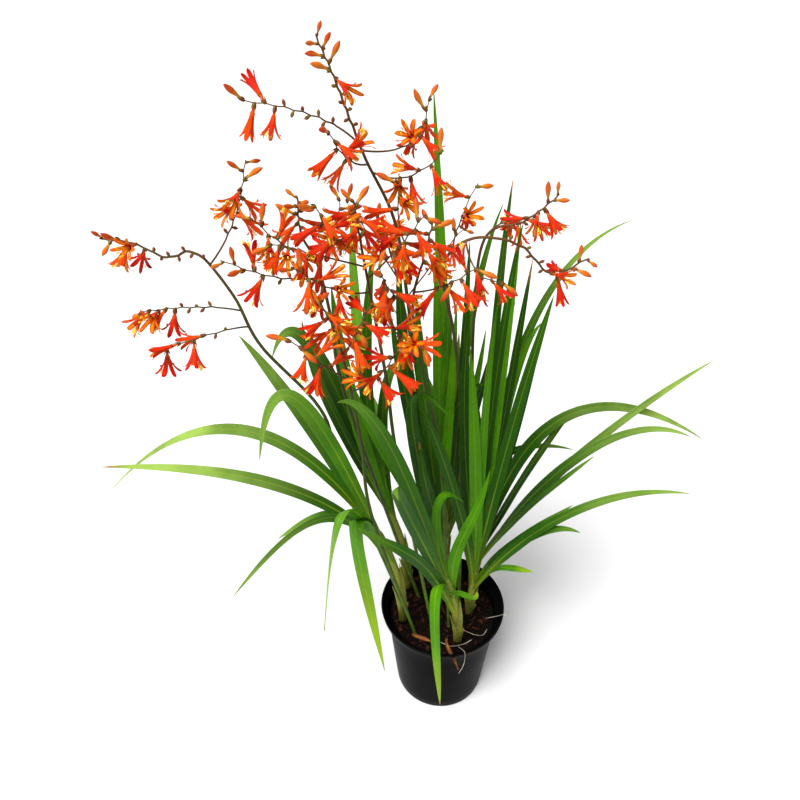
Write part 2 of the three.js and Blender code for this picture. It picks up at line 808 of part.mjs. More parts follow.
for (const [n, fan] of fans.entries()) {
  const sheath = sheathCurve(fan);
  const side = fanSide(fan);
  const across = up.clone().cross(side);
  const fill = Array.from({ length: fills[fan.name]?.[1] ?? 0 }, (_, k) => fillLeaf(fan, n, k));
  const rows = [...fan.leaves, ...fill];
  const depths = rows.map(([bend]) => point(bend).dot(across));
  for (const [k, [bend, tip, width, twist]] of rows.entries()) {
    const order = (k % fan.leaves.length) / fan.leaves.length;
    const layer = depths.filter((depth) => depth < depths[k]).length - 0.5 * (rows.length - 1);
    const rightward = point(tip).sub(point(fan.crown)).dot(side) > 0;
    const root = sheath.getPoint(THREE.MathUtils.lerp(fan.low, fan.high, order));
    root.addScaledVector(across, rootLayerGap * layer);
    const crown = point(fan.crown).lerp(point(bend), crownShare).addScaledVector(across, layerGap * layer);
    const turn = THREE.MathUtils.degToRad(rightward ? -twist : twist);
    const places = depthSteps.map((shift) => () => {
      const [bendThere, tipThere] = [inDepth(point(bend), shift), inDepth(point(tip), shift)];
      return { solid: leafSolid({ root, crown, bend: bendThere, tip: tipThere, side, width, twist: turn }) };
    });
    settle(fan.name, "leaf", places);
  }
}

const group = new THREE.Group();
group.name = "potted_crocosmia";

function addNode(name, solid, color, roughness) {
  const { vertProperties, triVerts, numProp } = solid.getMesh();
  const corners = [];
  for (let i = 0; i < vertProperties.length; i += numProp) corners.push(...vertProperties.subarray(i, i + 3));
  const geometry = new THREE.BufferGeometry();
  geometry.setAttribute("position", new THREE.Float32BufferAttribute(corners, 3));
  geometry.setIndex(new THREE.BufferAttribute(triVerts, 1));
  const shaded = geometry.toNonIndexed();
  shaded.computeVertexNormals();
  const material = new THREE.MeshStandardMaterial({ color, roughness, metalness: 0 });
  const mesh = new THREE.Mesh(shaded, material);
  mesh.name = name;
  group.add(mesh);
}

// All the grown pieces of a node as one body, with any hollow that they close between them filled.
function fused(node) {
  const own = placed.filter((piece) => piece.node === node).map((piece) => piece.solid);
  const whole = own.reduce((all, solid) => all.add(solid));
  const bodies = whole.decompose().filter((body) => body.volume() > 0);
  return bodies.reduce((most, body) => (body.volume() > most.volume() ? body : most));
}

addNode("pot", pot, 0x17181a, 0.45);
addNode("soil", soil, 0x3d2c20, 0.95);
for (const fan of fans) addNode(fan.name, fused(fan.name), 0x4f7a35, 0.5);
for (const spray of sprays) addNode(spray.name, fused(spray.name), 0xe2471b, 0.55);

export default group;
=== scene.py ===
import json
import math

import bmesh
import bpy
import numpy as np
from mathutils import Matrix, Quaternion, Vector, kdtree, noise

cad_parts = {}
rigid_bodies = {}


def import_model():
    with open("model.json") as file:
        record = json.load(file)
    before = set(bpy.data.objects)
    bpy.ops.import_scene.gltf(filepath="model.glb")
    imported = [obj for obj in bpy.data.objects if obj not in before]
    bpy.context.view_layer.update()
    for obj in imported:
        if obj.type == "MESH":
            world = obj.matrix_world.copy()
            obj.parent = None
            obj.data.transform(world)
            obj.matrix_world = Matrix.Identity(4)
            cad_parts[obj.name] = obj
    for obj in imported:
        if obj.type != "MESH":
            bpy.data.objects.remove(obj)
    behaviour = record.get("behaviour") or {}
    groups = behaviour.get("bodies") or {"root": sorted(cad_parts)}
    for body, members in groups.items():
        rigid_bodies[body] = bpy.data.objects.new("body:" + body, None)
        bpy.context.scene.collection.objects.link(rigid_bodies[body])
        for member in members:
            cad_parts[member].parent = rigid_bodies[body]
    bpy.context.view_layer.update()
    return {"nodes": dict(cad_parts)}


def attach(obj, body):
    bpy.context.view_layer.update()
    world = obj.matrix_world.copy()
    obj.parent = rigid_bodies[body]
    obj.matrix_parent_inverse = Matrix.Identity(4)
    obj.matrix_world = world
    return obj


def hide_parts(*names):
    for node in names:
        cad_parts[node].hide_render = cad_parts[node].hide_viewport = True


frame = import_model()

# A crocosmia in a nursery pot. Sizes are in millimetres, as in the part's source, and meshes are in metres.
MM = 0.001
UP = np.array([0.0, 0.0, 1.0])

# Pot
POT_SIDES = 128
POT_HEIGHT = 186
BASE_RADIUS = 73
BODY_TOP_RADIUS = 89
RIM_RADIUS = 100
LIP_HEIGHT = 12
WALL = 2
FLOOR_THICKNESS = 3
DRAIN_HOLES = 4
DRAIN_RADIUS = 6
DRAIN_CIRCLE = 48

# Soil
FIT_GAP = 0.35
SOIL_TOP = 160
SOIL_MOUND = 5
LUMP_HEIGHT = 1.5
ROOT_DEPTH = 30

# Leaves. A leaf whose tip is lower than LOW_TIP hangs, and looks old.
LEAF_THICKNESS = 1.8
EDGE_THICKNESS = 0.5
LEAF_STEPS = 48
LEAF_COLUMNS = 12
LAYER_GAP = 3.2
HIGHEST_LEAF = 0.68
ROOT_LAYER_GAP = 0.256
CROWN_SHARE = 0.2
LOW_TIP = 345
OLD_LEAF_TONE = 0.76
SWAY = 0.12
EDGE_WAVE = 0.03
PLEAT_DEPTH = 0.12
RIB_LINES = 14

# Leaves placed by rule: the degrees between them, how far each may stray, and the reach past which it droops
FILL_SPACING = 24
FILL_STRAY = 14
DROOP_REACH = 150

# Sheaths, which narrow towards the crown by SHEATH_TAPER and towards the soil to FOOT_SHARE
SHEATH_WIDTH = 17
SHEATH_THICKNESS = 7
SHEATH_SHARE = 0.75
SHEATH_TAPER = 0.55
SHEATH_STEPS = 30
SHEATH_SIDES = 28
FOOT_SHARE = 0.55
FOOT_END = 0.3

# Flower stems
STEM_RADIUS = 3.4
STEM_TIP_RADIUS = 1.3
STEM_RINGS = 13
SPIKE_RADIUS = 1.5
SPIKE_TIP_RADIUS = 0.7
SPIKE_RINGS = 4
SPIKE_START = 0.3
STEM_STEPS, SPIKE_STEPS = 60, 30
FINE_STEM = 0.78
ZIGZAG = 0.9

# Flowers, buds and stubs
PETALS = 6
PETAL_THICKNESS = 0.3
TUBE_LENGTH = 18
THROAT_RADIUS = 5.4
PETAL_REACH = 16
PETAL_RISE = 14
OPEN, CLOSING = 0.87, 0.25
BUD_LENGTH, BUD_RADIUS = 25, 3.3
BUD_SHORTENS, BUD_THINS = 13, 1.2
STUB_LENGTH = 8
LIFT = {"stub": -0.4, "bloom": -1.3, "bud": -0.4}
FORWARD = {"stub": 0.3, "bloom": 0.3, "bud": 0.6}
KINDS = ["bloom", "wide_bloom", "closing", "bud", "stub"]

# The places that a grown piece may have given way to: the same order as in the part's source.
WATCHER = np.array([-69.0, -723.0, 1124.0])
DEPTH_STEPS = [0, 12, -12, 24, -24, 36, -36, 50, -50, 65, -65, 80, -80, 100, -100]
ROLL_STEPS = [math.radians(a) for a in (0, 25, -25, 50, -50, 80, -80, 115, -115)]
CORNER_MATCH = 2e-4
LEAF_MARKS = (44, 36, 27)

# How far apart the seeds of neighbours are
FAN_SEED, FILL_SEED, FILL_LEAF_SEED = 40, 100, 7
SPRAY_SEED, BRANCH_SEED, FLORET_SEED = 500, 97, 31

# The camera, which stands at the watcher's place
LENS = 31.5
LOOK_DOWN = 53.7

# Flower sprays. stem: points that the main stem goes through above its foot, and stem_end: where its
# flowers start. branches: where each leaves the stem, the point it bends towards and its tip. ends: old
# stubs, open flowers and buds on each, the stem's own first.
SPRAYS = {
    "spray_left": dict(
        foot=(-48, 0), stem_end=0.58,
        stem=[
            (-145, -15, 485), (-170, -15, 590), (-235, -10, 680), (-260, -5, 745), (-295, 0, 795),
            (-330, 0, 790), (-365, 5, 805), (-400, 5, 810),
        ],
        branches=[
            (0.58, (-240, 0, 830), (-230, 10, 895)), (0.46, (-290, -30, 750), (-360, -35, 740)),
            (0.42, (-265, -40, 725), (-335, -60, 705)),
        ],
        ends=[(7, 3, 3), (3, 4, 3), (5, 4, 1), (2, 4, 0)],
    ),
    "spray_star": dict(
        foot=(-30, 30), stem_end=0.82,
        stem=[(-135, 5, 575), (-150, 0, 710), (-160, -10, 785), (-175, -15, 825), (-175, -15, 865)],
        branches=[
            (0.64, (-190, -40, 815), (-220, -45, 855)), (0.68, (-135, -30, 830), (-130, -20, 865)),
            (0.55, (-195, -60, 785), (-250, -70, 820)),
        ],
        ends=[(0, 3, 5), (0, 4, 2), (0, 4, 2), (3, 2, 3)],
    ),
    "spray_top": dict(
        foot=(0, 40), stem_end=0.68,
        stem=[
            (-35, 45, 490), (-60, 35, 720), (-75, 30, 820), (-105, 25, 890), (-120, 25, 930),
            (-135, 20, 975), (-150, 20, 1010),
        ],
        branches=[
            (0.62, (-140, 10, 945), (-225, 0, 955)), (0.6, (-40, 30, 890), (-40, 35, 950)),
            (0.56, (-125, -5, 890), (-140, -10, 930)), (0.54, (-60, 0, 865), (-25, -10, 910)),
        ],
        ends=[(6, 1, 6), (7, 3, 1), (2, 4, 2), (1, 4, 1), (0, 4, 1)],
    ),
    "spray_middle": dict(
        foot=(-12, -28), stem_end=0.8,
        stem=[(-70, -40, 510), (-85, -50, 660), (-100, -50, 765), (-110, -45, 830), (-115, -40, 870)],
        branches=[
            (0.62, (-135, -80, 780), (-175, -95, 825)), (0.66, (-70, -70, 830), (-45, -75, 870)),
            (0.74, (-140, -70, 840), (-150, -75, 880)), (0.58, (-70, -95, 735), (-45, -110, 745)),
            (0.7, (-170, -60, 825), (-200, -65, 835)),
        ],
        ends=[(1, 5, 2), (1, 5, 2), (0, 6, 2), (0, 5, 1), (0, 5, 1), (0, 5, 1)],
    ),
    "spray_low": dict(
        foot=(-38, -40), stem_end=0.78,
        stem=[(-105, -60, 435), (-115, -75, 575), (-125, -85, 675), (-135, -95, 745), (-150, -100, 790)],
        branches=[
            (0.62, (-150, -115, 720), (-180, -125, 760)), (0.58, (-90, -110, 695), (-70, -115, 745)),
            (0.7, (-120, -115, 750), (-95, -120, 800)),
        ],
        ends=[(0, 5, 2), (0, 5, 1), (0, 5, 1), (0, 5, 1)],
    ),
    "spray_inner": dict(
        foot=(12, -30), stem_end=0.78,
        stem=[(-15, -40, 510), (-40, -45, 655), (-55, -45, 750), (-45, -40, 805), (-35, -35, 845)],
        branches=[
            (0.62, (-80, -85, 780), (-90, -95, 825)), (0.66, (-20, -60, 780), (10, -65, 810)),
            (0.72, (-75, -30, 830), (-70, -20, 885)),
        ],
        ends=[(0, 6, 2), (0, 5, 2), (0, 5, 1), (0, 5, 1)],
    ),
    "spray_right": dict(
        foot=(30, 10), stem_end=0.66,
        stem=[
            (15, 10, 500), (0, 5, 665), (-20, 0, 775), (10, 5, 810), (65, 10, 800), (105, 10, 765),
            (145, 10, 785),
        ],
        branches=[(0.55, (10, -25, 770), (45, -30, 775)), (0.5, (-10, 40, 800), (20, 70, 850))],
        ends=[(6, 3, 3), (0, 3, 1), (2, 3, 1)],
    ),
    "spray_far_right": dict(
        foot=(28, 48), stem_end=0.68,
        stem=[(30, 60, 515), (25, 55, 680), (30, 50, 790), (75, 45, 815), (110, 45, 845)],
        branches=[(0.62, (50, 90, 800), (100, 125, 785))],
        ends=[(4, 4, 3), (2, 3, 1)],
    ),
    "spray_back": dict(
        foot=(-18, 58), stem_end=0.7,
        stem=[(-35, 80, 470), (-55, 110, 620), (-80, 150, 720), (-105, 195, 770)],
        branches=[(0.6, (-20, 150, 720), (20, 185, 750)), (0.68, (-110, 120, 770), (-140, 150, 800))],
        ends=[(2, 4, 2), (1, 3, 2), (1, 3, 1)],
    ),
}

# Leaf fans. facing: the turn of the fan's plane. lowest: how far up the sheath the first leaf leaves it.
# fills: the heading that leaves placed by rule spread about and how many they are. leaves: the point each
# bends towards, its tip, its width and its twist in degrees.
FANS = {
    "fan_left": dict(
        foot=(-64, -24), crown=(-135, -45, 475), facing=0, lowest=0.45, fills=(0, 0),
        leaves=[
            ((-140, -125, 570), (-90, -165, 250), 26, 20), ((-145, -115, 585), (-170, -150, 320), 20, 20),
            ((-185, -80, 495), (-295, -120, 350), 16, 40), ((-185, -30, 420), (-250, -10, 345), 15, 50),
            ((-285, -50, 530), (-465, -30, 505), 18, 70), ((-280, 10, 655), (-485, 20, 420), 18, 60),
            ((-210, -20, 630), (-260, -10, 695), 20, 20), ((-205, -60, 780), (-240, -80, 560), 20, 50),
        ],
    ),
    "fan_left_back": dict(
        foot=(-55, 42), crown=(-125, 50, 440), facing=20, lowest=0.4, fills=(80, 2),
        leaves=[
            ((-150, 120, 600), (-180, 200, 560), 16, 60), ((-90, 110, 475), (-115, 190, 465), 16, 50),
            ((-185, 10, 790), (-230, 15, 645), 22, 30), ((-145, 20, 640), (-150, 20, 745), 21, 15),
            ((-185, 0, 630), (-185, 0, 710), 16, 20), ((-120, 50, 635), (-100, 60, 780), 21, 10),
        ],
    ),
    "fan_front": dict(
        foot=(21, -62), crown=(-30, -85, 400), facing=-10, lowest=0.2, fills=(0, 0),
        leaves=[
            ((45, -80, 260), (40, -85, 320), 13, 20), ((-45, -115, 420), (-120, -130, 495), 20, 60),
            ((30, -75, 415), (45, -60, 525), 18, 20), ((-45, -110, 445), (-70, -115, 535), 16, 20),
            ((-90, -135, 615), (-70, -165, 575), 20, 60), ((-35, -75, 540), (15, -60, 470), 15, 50),
            ((-85, -120, 700), (-135, -130, 685), 20, 40), ((-25, -150, 345), (-7, -130, 103), 15, 10),
        ],
    ),
    "fan_right": dict(
        foot=(44, -8), crown=(50, -10, 310), facing=5, lowest=0.35, fills=(0, 0),
        leaves=[
            ((135, -30, 415), (185, -40, 390), 16, 60), ((180, -40, 495), (310, -60, 485), 15, 70),
            ((135, -5, 365), (180, 0, 405), 13, 40), ((95, -20, 295), (130, -30, 295), 13, 40),
            ((-20, -45, 565), (-45, -55, 625), 18, 20), ((5, 10, 550), (15, 15, 710), 20, 12),
            ((30, -15, 540), (15, -10, 680), 20, 10), ((85, 0, 615), (110, 5, 740), 20, 15),
            ((65, 30, 620), (70, 45, 815), 18, 10), ((50, 15, 690), (70, 30, 820), 14, 10),
            ((35, -10, 630), (45, 0, 735), 14, 20),
        ],
    ),
    "fan_right_back": dict(
        foot=(52, 38), crown=(70, 45, 330), facing=25, lowest=0.35, fills=(85, 2),
        leaves=[
            ((160, 10, 445), (200, 10, 490), 11, 50), ((205, 20, 585), (330, 20, 515), 18, 60),
            ((110, 60, 660), (375, 70, 470), 22, 50), ((230, 60, 515), (350, 60, 615), 16, 60),
            ((140, 60, 475), (180, 65, 535), 15, 30), ((85, 90, 630), (125, 100, 650), 13, 50),
            ((75, 130, 725), (240, 170, 765), 13, 60), ((55, 110, 645), (70, 130, 835), 18, 10),
            ((105, 60, 540), (115, 55, 665), 13, 20), ((85, 70, 625), (95, 75, 755), 14, 15),
        ],
    ),
    "fan_centre": dict(
        foot=(-6, 8), crown=(-10, 5, 410), facing=0, lowest=0.3, fills=(95, 2),
        leaves=[
            ((-100, -60, 730), (-15, -115, 655), 20, 40), ((-15, 40, 610), (55, 50, 580), 13, 60),
            ((-105, -40, 545), (-125, -45, 650), 21, 15), ((-65, -15, 590), (-80, -10, 725), 21, 10),
            ((-45, -5, 630), (-50, 0, 745), 21, 10), ((-75, 30, 620), (-70, 40, 780), 21, 10),
            ((-35, -50, 455), (-45, -50, 565), 20, 20), ((-5, 40, 595), (-10, 50, 730), 21, 15),
            ((0, 20, 600), (0, 35, 715), 14, 15),
        ],
    ),
    "fan_back": dict(
        foot=(6, 64), crown=(10, 85, 375), facing=30, lowest=0.35, fills=(90, 5),
        leaves=[
            ((15, 180, 460), (55, 300, 405), 16, 60), ((80, 90, 470), (200, 105, 420), 15, 60),
            ((20, 140, 675), (65, 155, 795), 15, 20), ((-15, 130, 755), (-30, 145, 935), 21, 8),
            ((45, 125, 520), (55, 150, 610), 14, 20), ((20, 100, 650), (20, 115, 760), 14, 15),
        ],
    ),
}


# Paths and frames, by the rules that the solids follow.


def draw(seed):
    """A repeatable draw between 0 and 1."""
    value = math.sin(seed * 12.9898 + 4.1) * 43758.5453
    return value - math.floor(value)


def unit(v):
    return v / np.linalg.norm(v)


def level(turn):
    """The level direction at a turn."""
    return np.array([math.cos(turn), math.sin(turn), 0.0])


def turned(v, axis, angle):
    """v turned about a unit axis."""
    along = axis * axis.dot(v) * (1 - math.cos(angle))
    return v * math.cos(angle) + np.cross(axis, v) * math.sin(angle) + along


def bezier(handles):
    """The point at u on a curve of three or four handles."""
    p = [np.array(q, float) for q in handles]
    if len(p) == 3:
        return lambda u: (1 - u) ** 2 * p[0] + 2 * u * (1 - u) * p[1] + u * u * p[2]
    return lambda u: (
        (1 - u) ** 3 * p[0] + 3 * u * (1 - u) ** 2 * p[1] + 3 * u * u * (1 - u) * p[2] + u**3 * p[3]
    )


def through(points):
    """The point at u on a smooth curve that goes through all the points."""
    p = [np.array(q, float) for q in points]
    p = [2 * p[0] - p[1], *p, 2 * p[-1] - p[-2]]
    spans = len(p) - 3

    def at(u):
        k = min(int(math.floor(u * spans)), spans - 1)
        w = u * spans - k
        before, a, b, after = p[k : k + 4]
        m0, m1 = 0.5 * (b - before), 0.5 * (after - a)
        return (
            (2 * w**3 - 3 * w * w + 1) * a
            + (w**3 - 2 * w * w + w) * m0
            + (3 * w * w - 2 * w**3) * b
            + (w**3 - w * w) * m1
        )

    return at


def tangent(curve, u, step=1e-4):
    return unit(curve(min(1, u + step)) - curve(max(0, u - step)))


def carried_frames(curve, steps, side):
    """Points, tangents and a side direction that doesn't spin, along a curve."""
    frames = []
    for i in range(steps + 1):
        t = tangent(curve, i / steps)
        side = unit(side - side.dot(t) * t)
        frames.append((curve(i / steps), t, side))
    return frames


def in_depth(p, distance):
    """A point moved along the viewer's line."""
    p = np.array(p, float)
    return p + unit(p - WATCHER) * distance


def stem_middle(curve, rings, u):
    """The middle of a faceted stem at a fraction of its curve."""
    first = min(rings - 1, math.floor(u * rings))
    a, b = curve(first / rings), curve((first + 1) / rings)
    return a + (b - a) * (u * rings - first)


class NodeCorners:
    """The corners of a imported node, to find which of a piece's places its solid took."""

    def __init__(self, node):
        mesh = frame["nodes"][node].data
        self.tree = kdtree.KDTree(len(mesh.vertices))
        for i, corner in enumerate(mesh.vertices):
            self.tree.insert(corner.co, i)
        self.tree.balance()

    def hits(self, points):
        return sum(self.tree.find(Vector(p * MM))[2] < CORNER_MATCH for p in points) / len(points)

    def taken(self, places, marks):
        """The place whose marks hit the node's corners most often, or None where none of them does."""
        scores = [self.hits(marks(place)) for place in places]
        return places[scores.index(max(scores))] if max(scores) > 0 else None


# Meshes.


def link(name, data):
    """A new object of a mesh, light or camera, in the scene."""
    made = bpy.data.objects.new(name, data)
    bpy.context.scene.collection.objects.link(made)
    return made


def store(mesh, name, row):
    """Stores one number on each corner of a mesh."""
    mesh.attributes.new(name, "FLOAT", "POINT").data.foreach_set("value", row)


class Skin:
    """Collects the corners, faces and point values of one mesh piece."""

    def __init__(self):
        self.corners, self.faces, self.values = [], [], {}

    def add(self, corners, faces, **values):
        first = len(self.corners)
        self.corners += [tuple(c) for c in corners]
        self.faces += [tuple(first + i for i in face) for face in faces]
        for name, row in values.items():
            have = self.values.setdefault(name, [])
            have += [0.0] * (first - len(have))
            have += list(row) if np.ndim(row) else [row] * len(corners)

    def mesh(self, name, *finish):
        """The mesh, with its faces pointed outwards."""
        mesh = bpy.data.meshes.new(name)
        mesh.from_pydata([tuple(c * MM for c in corner) for corner in self.corners], [], self.faces)
        for value, row in self.values.items():
            store(mesh, value, row + [0.0] * (len(self.corners) - len(row)))
        work = bmesh.new()
        work.from_mesh(mesh)
        bmesh.ops.recalc_face_normals(work, faces=work.faces)
        work.to_mesh(mesh)
        work.free()
        mesh.shade_smooth()
        for material in finish:
            mesh.materials.append(material)
        return mesh


def ring(at, side, across, width, thickness, count):
    """Corners of an oval section."""
    turns = [2 * math.pi * k / count for k in range(count)]
    return [at + side * (0.5 * width * math.cos(t)) + across * (0.5 * thickness * math.sin(t)) for t in turns]


def tube_faces(rings, count):
    """Faces over rings of equal counts, closed at both ends."""
    faces = []
    for r in range(rings - 1):
        for k in range(count):
            a, b = r * count + k, r * count + (k + 1) % count
            faces.append((a, b, b + count, a + count))
    faces.append(tuple(range(count)))
    faces.append(tuple((rings - 1) * count + k for k in range(count)))
    return faces


def add_blade(skin, steps, columns, place, thickness, along=(0.0, 1.0), **values):
    """A thin closed blade: place(i, v) gives its middle and normal at a step and, from -1 to 1, across."""
    low, high = along
    across = [2 * j / columns - 1 for j in range(columns + 1)]
    cells = [place(i, v) for i in range(steps + 1) for v in across]
    lengthwise = [low + (high - low) * i / steps for i in range(steps + 1) for _ in across]
    front = [point + normal * (0.5 * thickness) for point, normal in cells]
    back = [point - normal * (0.5 * thickness) for point, normal in cells]
    below, count = len(cells), columns + 1
    faces = []
    for i in range(steps):
        for j in range(columns):
            a = i * count + j
            face = (a, a + 1, a + 1 + count, a + count)
            faces += [face, tuple(below + c for c in reversed(face))]
    last = steps * count
    rim = [*range(count), *(i * count + columns for i in range(1, steps + 1))]
    rim += [*range(last + columns - 1, last - 1, -1), *(i * count for i in range(steps - 1, 0, -1))]
    for a, b in zip(rim, rim[1:] + rim[:1]):
        faces.append((b, a, below + a, below + b))
    values.update(along=lengthwise * 2, across=across * (2 * steps + 2), front=[1.0] * below + [0.0] * below)
    skin.add([*front, *back], faces, **values)


def add_turned(skin, profile, count, bend=0.0, lobes=0, along=(0.0, 1.0)):
    """A form turned over (radius, height) pairs, closed at both ends, that may bow sideways or have lobes."""
    low, high = profile[0][1], profile[-1][1]
    corners = []
    for radius, height in profile:
        bow = bend * math.sin(math.pi * (height - low) / (high - low))
        for k in range(count):
            turn = 2 * math.pi * k / count
            swell = radius * (1 + (0.1 * math.cos(lobes * turn) if lobes else 0))
            corners.append((bow + swell * math.cos(turn), swell * math.sin(turn), height))
    rows = np.repeat(np.linspace(*along, len(profile)), count)
    skin.add(corners, tube_faces(len(profile), count), along=rows)


def add_wire(skin, points, radius, sides, first_along, last_along, steps=5):
    """A thin round wire through the points."""
    corners, along = [], []
    for i, (at, t, side) in enumerate(carried_frames(through(points), steps, np.array([1.0, 0.3, 0.2]))):
        size = 2 * radius * (1 if 0 < i < steps else 0.6)
        corners += ring(at, side, np.cross(t, side), size, size, sides)
        along += [first_along + (last_along - first_along) * i / steps] * sides
    skin.add(corners, tube_faces(steps + 1, sides), along=along)


def turned_skin(profile, sides):
    """A closed body turned about the pot's axis. The profile starts and ends on the axis."""
    inner = profile[1:-1]
    corners = [(0, 0, profile[0][1]), (0, 0, profile[-1][1])]
    for k in range(sides):
        turn = 2 * math.pi * k / sides
        corners += [(r * math.cos(turn), r * math.sin(turn), z) for r, z in inner]
    faces = []
    count = len(inner)
    for k in range(sides):
        a, b = 2 + k * count, 2 + (k + 1) % sides * count
        faces.append((0, a, b))
        faces += [(a + i, a + i + 1, b + i + 1, b + i) for i in range(count - 1)]
        faces.append((a + count - 1, 1, b + count - 1))
    skin = Skin()
    skin.add(corners, faces)
    return skin


def put_in_scene(mesh, node):
    """Adds a finished mesh as a piece that stands for a node."""
    piece = link(mesh.name, mesh)
    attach(piece, "root")
    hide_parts(node)


# Finishes.


class Nodes:
    """Adds and feeds the nodes of one tree."""

    def __init__(self, tree):
        self.tree = tree

    def node(self, kind, inputs=(), **settings):
        """Adds a node; inputs maps its sockets to values or to other nodes' sockets."""
        made = self.tree.nodes.new(kind)
        for key, value in settings.items():
            setattr(made, key, value)
        for key, value in dict(inputs).items():
            self.feed(made.inputs[key], value)
        return made

    def feed(self, socket, value):
        if isinstance(value, bpy.types.NodeSocket):
            self.tree.links.new(value, socket)
        else:
            socket.default_value = (*value, 1) if socket.type == "RGBA" else value


class Finish(Nodes):
    """A node material, with short names for the nodes that it is made of."""

    def __init__(self, name):
        self.material = bpy.data.materials.new(name)
        self.material.use_nodes = True
        super().__init__(self.material.node_tree)
        self.shader = self.tree.nodes["Principled BSDF"]
        self.objects = self.node("ShaderNodeTexCoord").outputs["Object"]

    def value(self, name):
        """A value stored on the mesh."""
        return self.node("ShaderNodeAttribute", attribute_name=name).outputs["Fac"]

    def noise(self, scale, detail=4.0, rough=0.55):
        inputs = {"Vector": self.objects, "Scale": scale, "Detail": detail, "Roughness": rough}
        return self.node("ShaderNodeTexNoise", inputs).outputs["Fac"]

    def math(self, operation, a, b=0.0, clamp=False):
        return self.node("ShaderNodeMath", {0: a, 1: b}, operation=operation, use_clamp=clamp).outputs[0]

    def times(self, a, b):
        return self.math("MULTIPLY", a, b)

    def away_from_middle(self, across):
        return self.math("ABSOLUTE", across)

    def spread(self, value, low, high, at_low=0.0, at_high=1.0):
        """Maps a value's range onto another, and holds it at both ends."""
        inputs = {"Value": value, "From Min": low, "From Max": high, "To Min": at_low, "To Max": at_high}
        return self.node("ShaderNodeMapRange", inputs).outputs["Result"]

    def patches(self, grain, at_low, at_high):
        """Wanders between two numbers with a noise."""
        return self.spread(grain, 0.3, 0.7, at_low, at_high)

    def ramp(self, value, *stops):
        made = self.node("ShaderNodeValToRGB", {"Fac": value})
        marks = made.color_ramp.elements
        while len(marks) < len(stops):
            marks.new(0.5)
        for mark, (place, color) in zip(marks, stops):
            mark.position = place
            mark.color = (*color, 1)
        return made.outputs["Color"]

    def mix(self, share, a, b):
        return self.node("ShaderNodeMix", {0: share, 6: a, 7: b}, data_type="RGBA").outputs[2]

    def tint(self, base, color, value, low, high, at_low=0.0, at_high=1.0):
        """Lays a colour over the base by the share that a value's spread gives."""
        return self.mix(self.spread(value, low, high, at_low, at_high), base, color)

    def distance_out(self):
        """How far a point is from the pot's axis."""
        apart = self.node("ShaderNodeSeparateXYZ", {0: self.objects})
        x, y = apart.outputs[0], apart.outputs[1]
        return self.math("SQRT", self.math("ADD", self.times(x, x), self.times(y, y)))

    def stripes(self, across, count):
        """Fine lines that run the length of a leaf or petal."""
        return self.math("SINE", self.times(across, math.pi * count))

    def done(self, color, roughness, specular, relief, strength, depth, glow_through=0.0):
        """Ends the finish with its colour, its gloss and its relief."""
        bumped = self.node("ShaderNodeBump", {"Height": relief, "Strength": strength, "Distance": depth})
        settings = {
            "Base Color": color,
            "Roughness": roughness,
            "Normal": bumped.outputs["Normal"],
            "Specular IOR Level": specular,
            "Subsurface Weight": glow_through,
            "Subsurface Radius": (0.004, 0.002, 0.001),
            "Subsurface Scale": 0.5,
        }
        for name, value in settings.items():
            self.feed(self.shader.inputs[name], value)
        return self.material


def leaf_finish():
    """Ribbed sword leaf: yellow-green at its root, with painted shade deep green in the clump and painted
    light paler further out.
    """
    f = Finish("leaf_green")
    along, across, tone, old = (f.value(name) for name in ("along", "across", "tone", "old"))
    away, stripe = f.distance_out(), f.stripes(across, RIB_LINES)
    color = f.ramp(
        along,
        (0.0, (0.38, 0.44, 0.035)),
        (0.12, (0.17, 0.29, 0.008)),
        (0.26, (0.020, 0.095, 0.001)),
        (0.4, (0.004, 0.054, 0.0003)),
        (0.75, (0.009, 0.092, 0.0003)),
        (1.0, (0.06, 0.20, 0.003)),
    )
    # Painted shade: above their roots, leaves near the pot's axis are darkened to deep green where the clump
    # shades them. Leaves of a low random tone take the same dark green as their own colour.
    inner = f.times(f.spread(away, 0.05, 0.16, 0.75, 0.0), f.spread(along, 0.16, 0.4))
    painted_shade_and_dark_tone = f.math("MAXIMUM", inner, f.spread(tone, 0.0, 0.4, 0.75, 0.0))
    color = f.mix(painted_shade_and_dark_tone, color, (0.0015, 0.021, 0.0004))
    color = f.tint(color, (0.13, 0.44, 0.003), tone, 0.5, 0.9, 0.0, 0.95)
    # Painted light: leaves far out from the pot's axis, away from their roots, are mixed towards a pale
    # bright green where light falls on them.
    outer = f.times(f.spread(away, 0.13, 0.34), f.spread(along, 0.2, 0.7))
    color = f.mix(outer, color, (0.42, 0.60, 0.12))
    color = f.tint(color, (0.008, 0.062, 0.0006), f.noise(12.0), 0.42, 0.66, 0.0, 0.5)
    color = f.tint(color, (0.13, 0.43, 0.004), stripe, 0.0, 1.0, 0.0, 0.34)
    color = f.tint(color, (0.003, 0.030, 0.0006), stripe, -1.0, -0.2, 0.45, 0.0)
    rib_edge = f.times(f.away_from_middle(across), f.spread(along, 0.05, 0.4, 2.0, 7.0))
    rib = f.math("SUBTRACT", 1.0, rib_edge, clamp=True)
    color = f.mix(f.times(rib, f.spread(along, 0.05, 0.45, 0.85, 0.3)), color, (0.33, 0.46, 0.04))
    color = f.mix(f.times(old, f.spread(along, 0.72, 1.0, 0.0, 0.75)), color, (0.40, 0.56, 0.010))
    dry_from = f.math("MINIMUM", f.spread(tone, 0.0, 0.3, 0.92, 1.03), f.spread(old, 0.0, 1.0, 1.03, 0.975))
    ragged = f.math("ADD", along, f.patches(f.noise(90.0, 5.0), -0.02, 0.02))
    dry = f.math("MULTIPLY", f.math("SUBTRACT", ragged, dry_from), 40.0, clamp=True)
    color = f.mix(dry, color, (0.42, 0.17, 0.02))
    relief = f.math("ADD", stripe, f.times(f.noise(300.0), 0.6))
    return f.done(color, f.patches(f.noise(40.0), 0.22, 0.36), 0.055, relief, 0.5, 0.0006, 0.02)


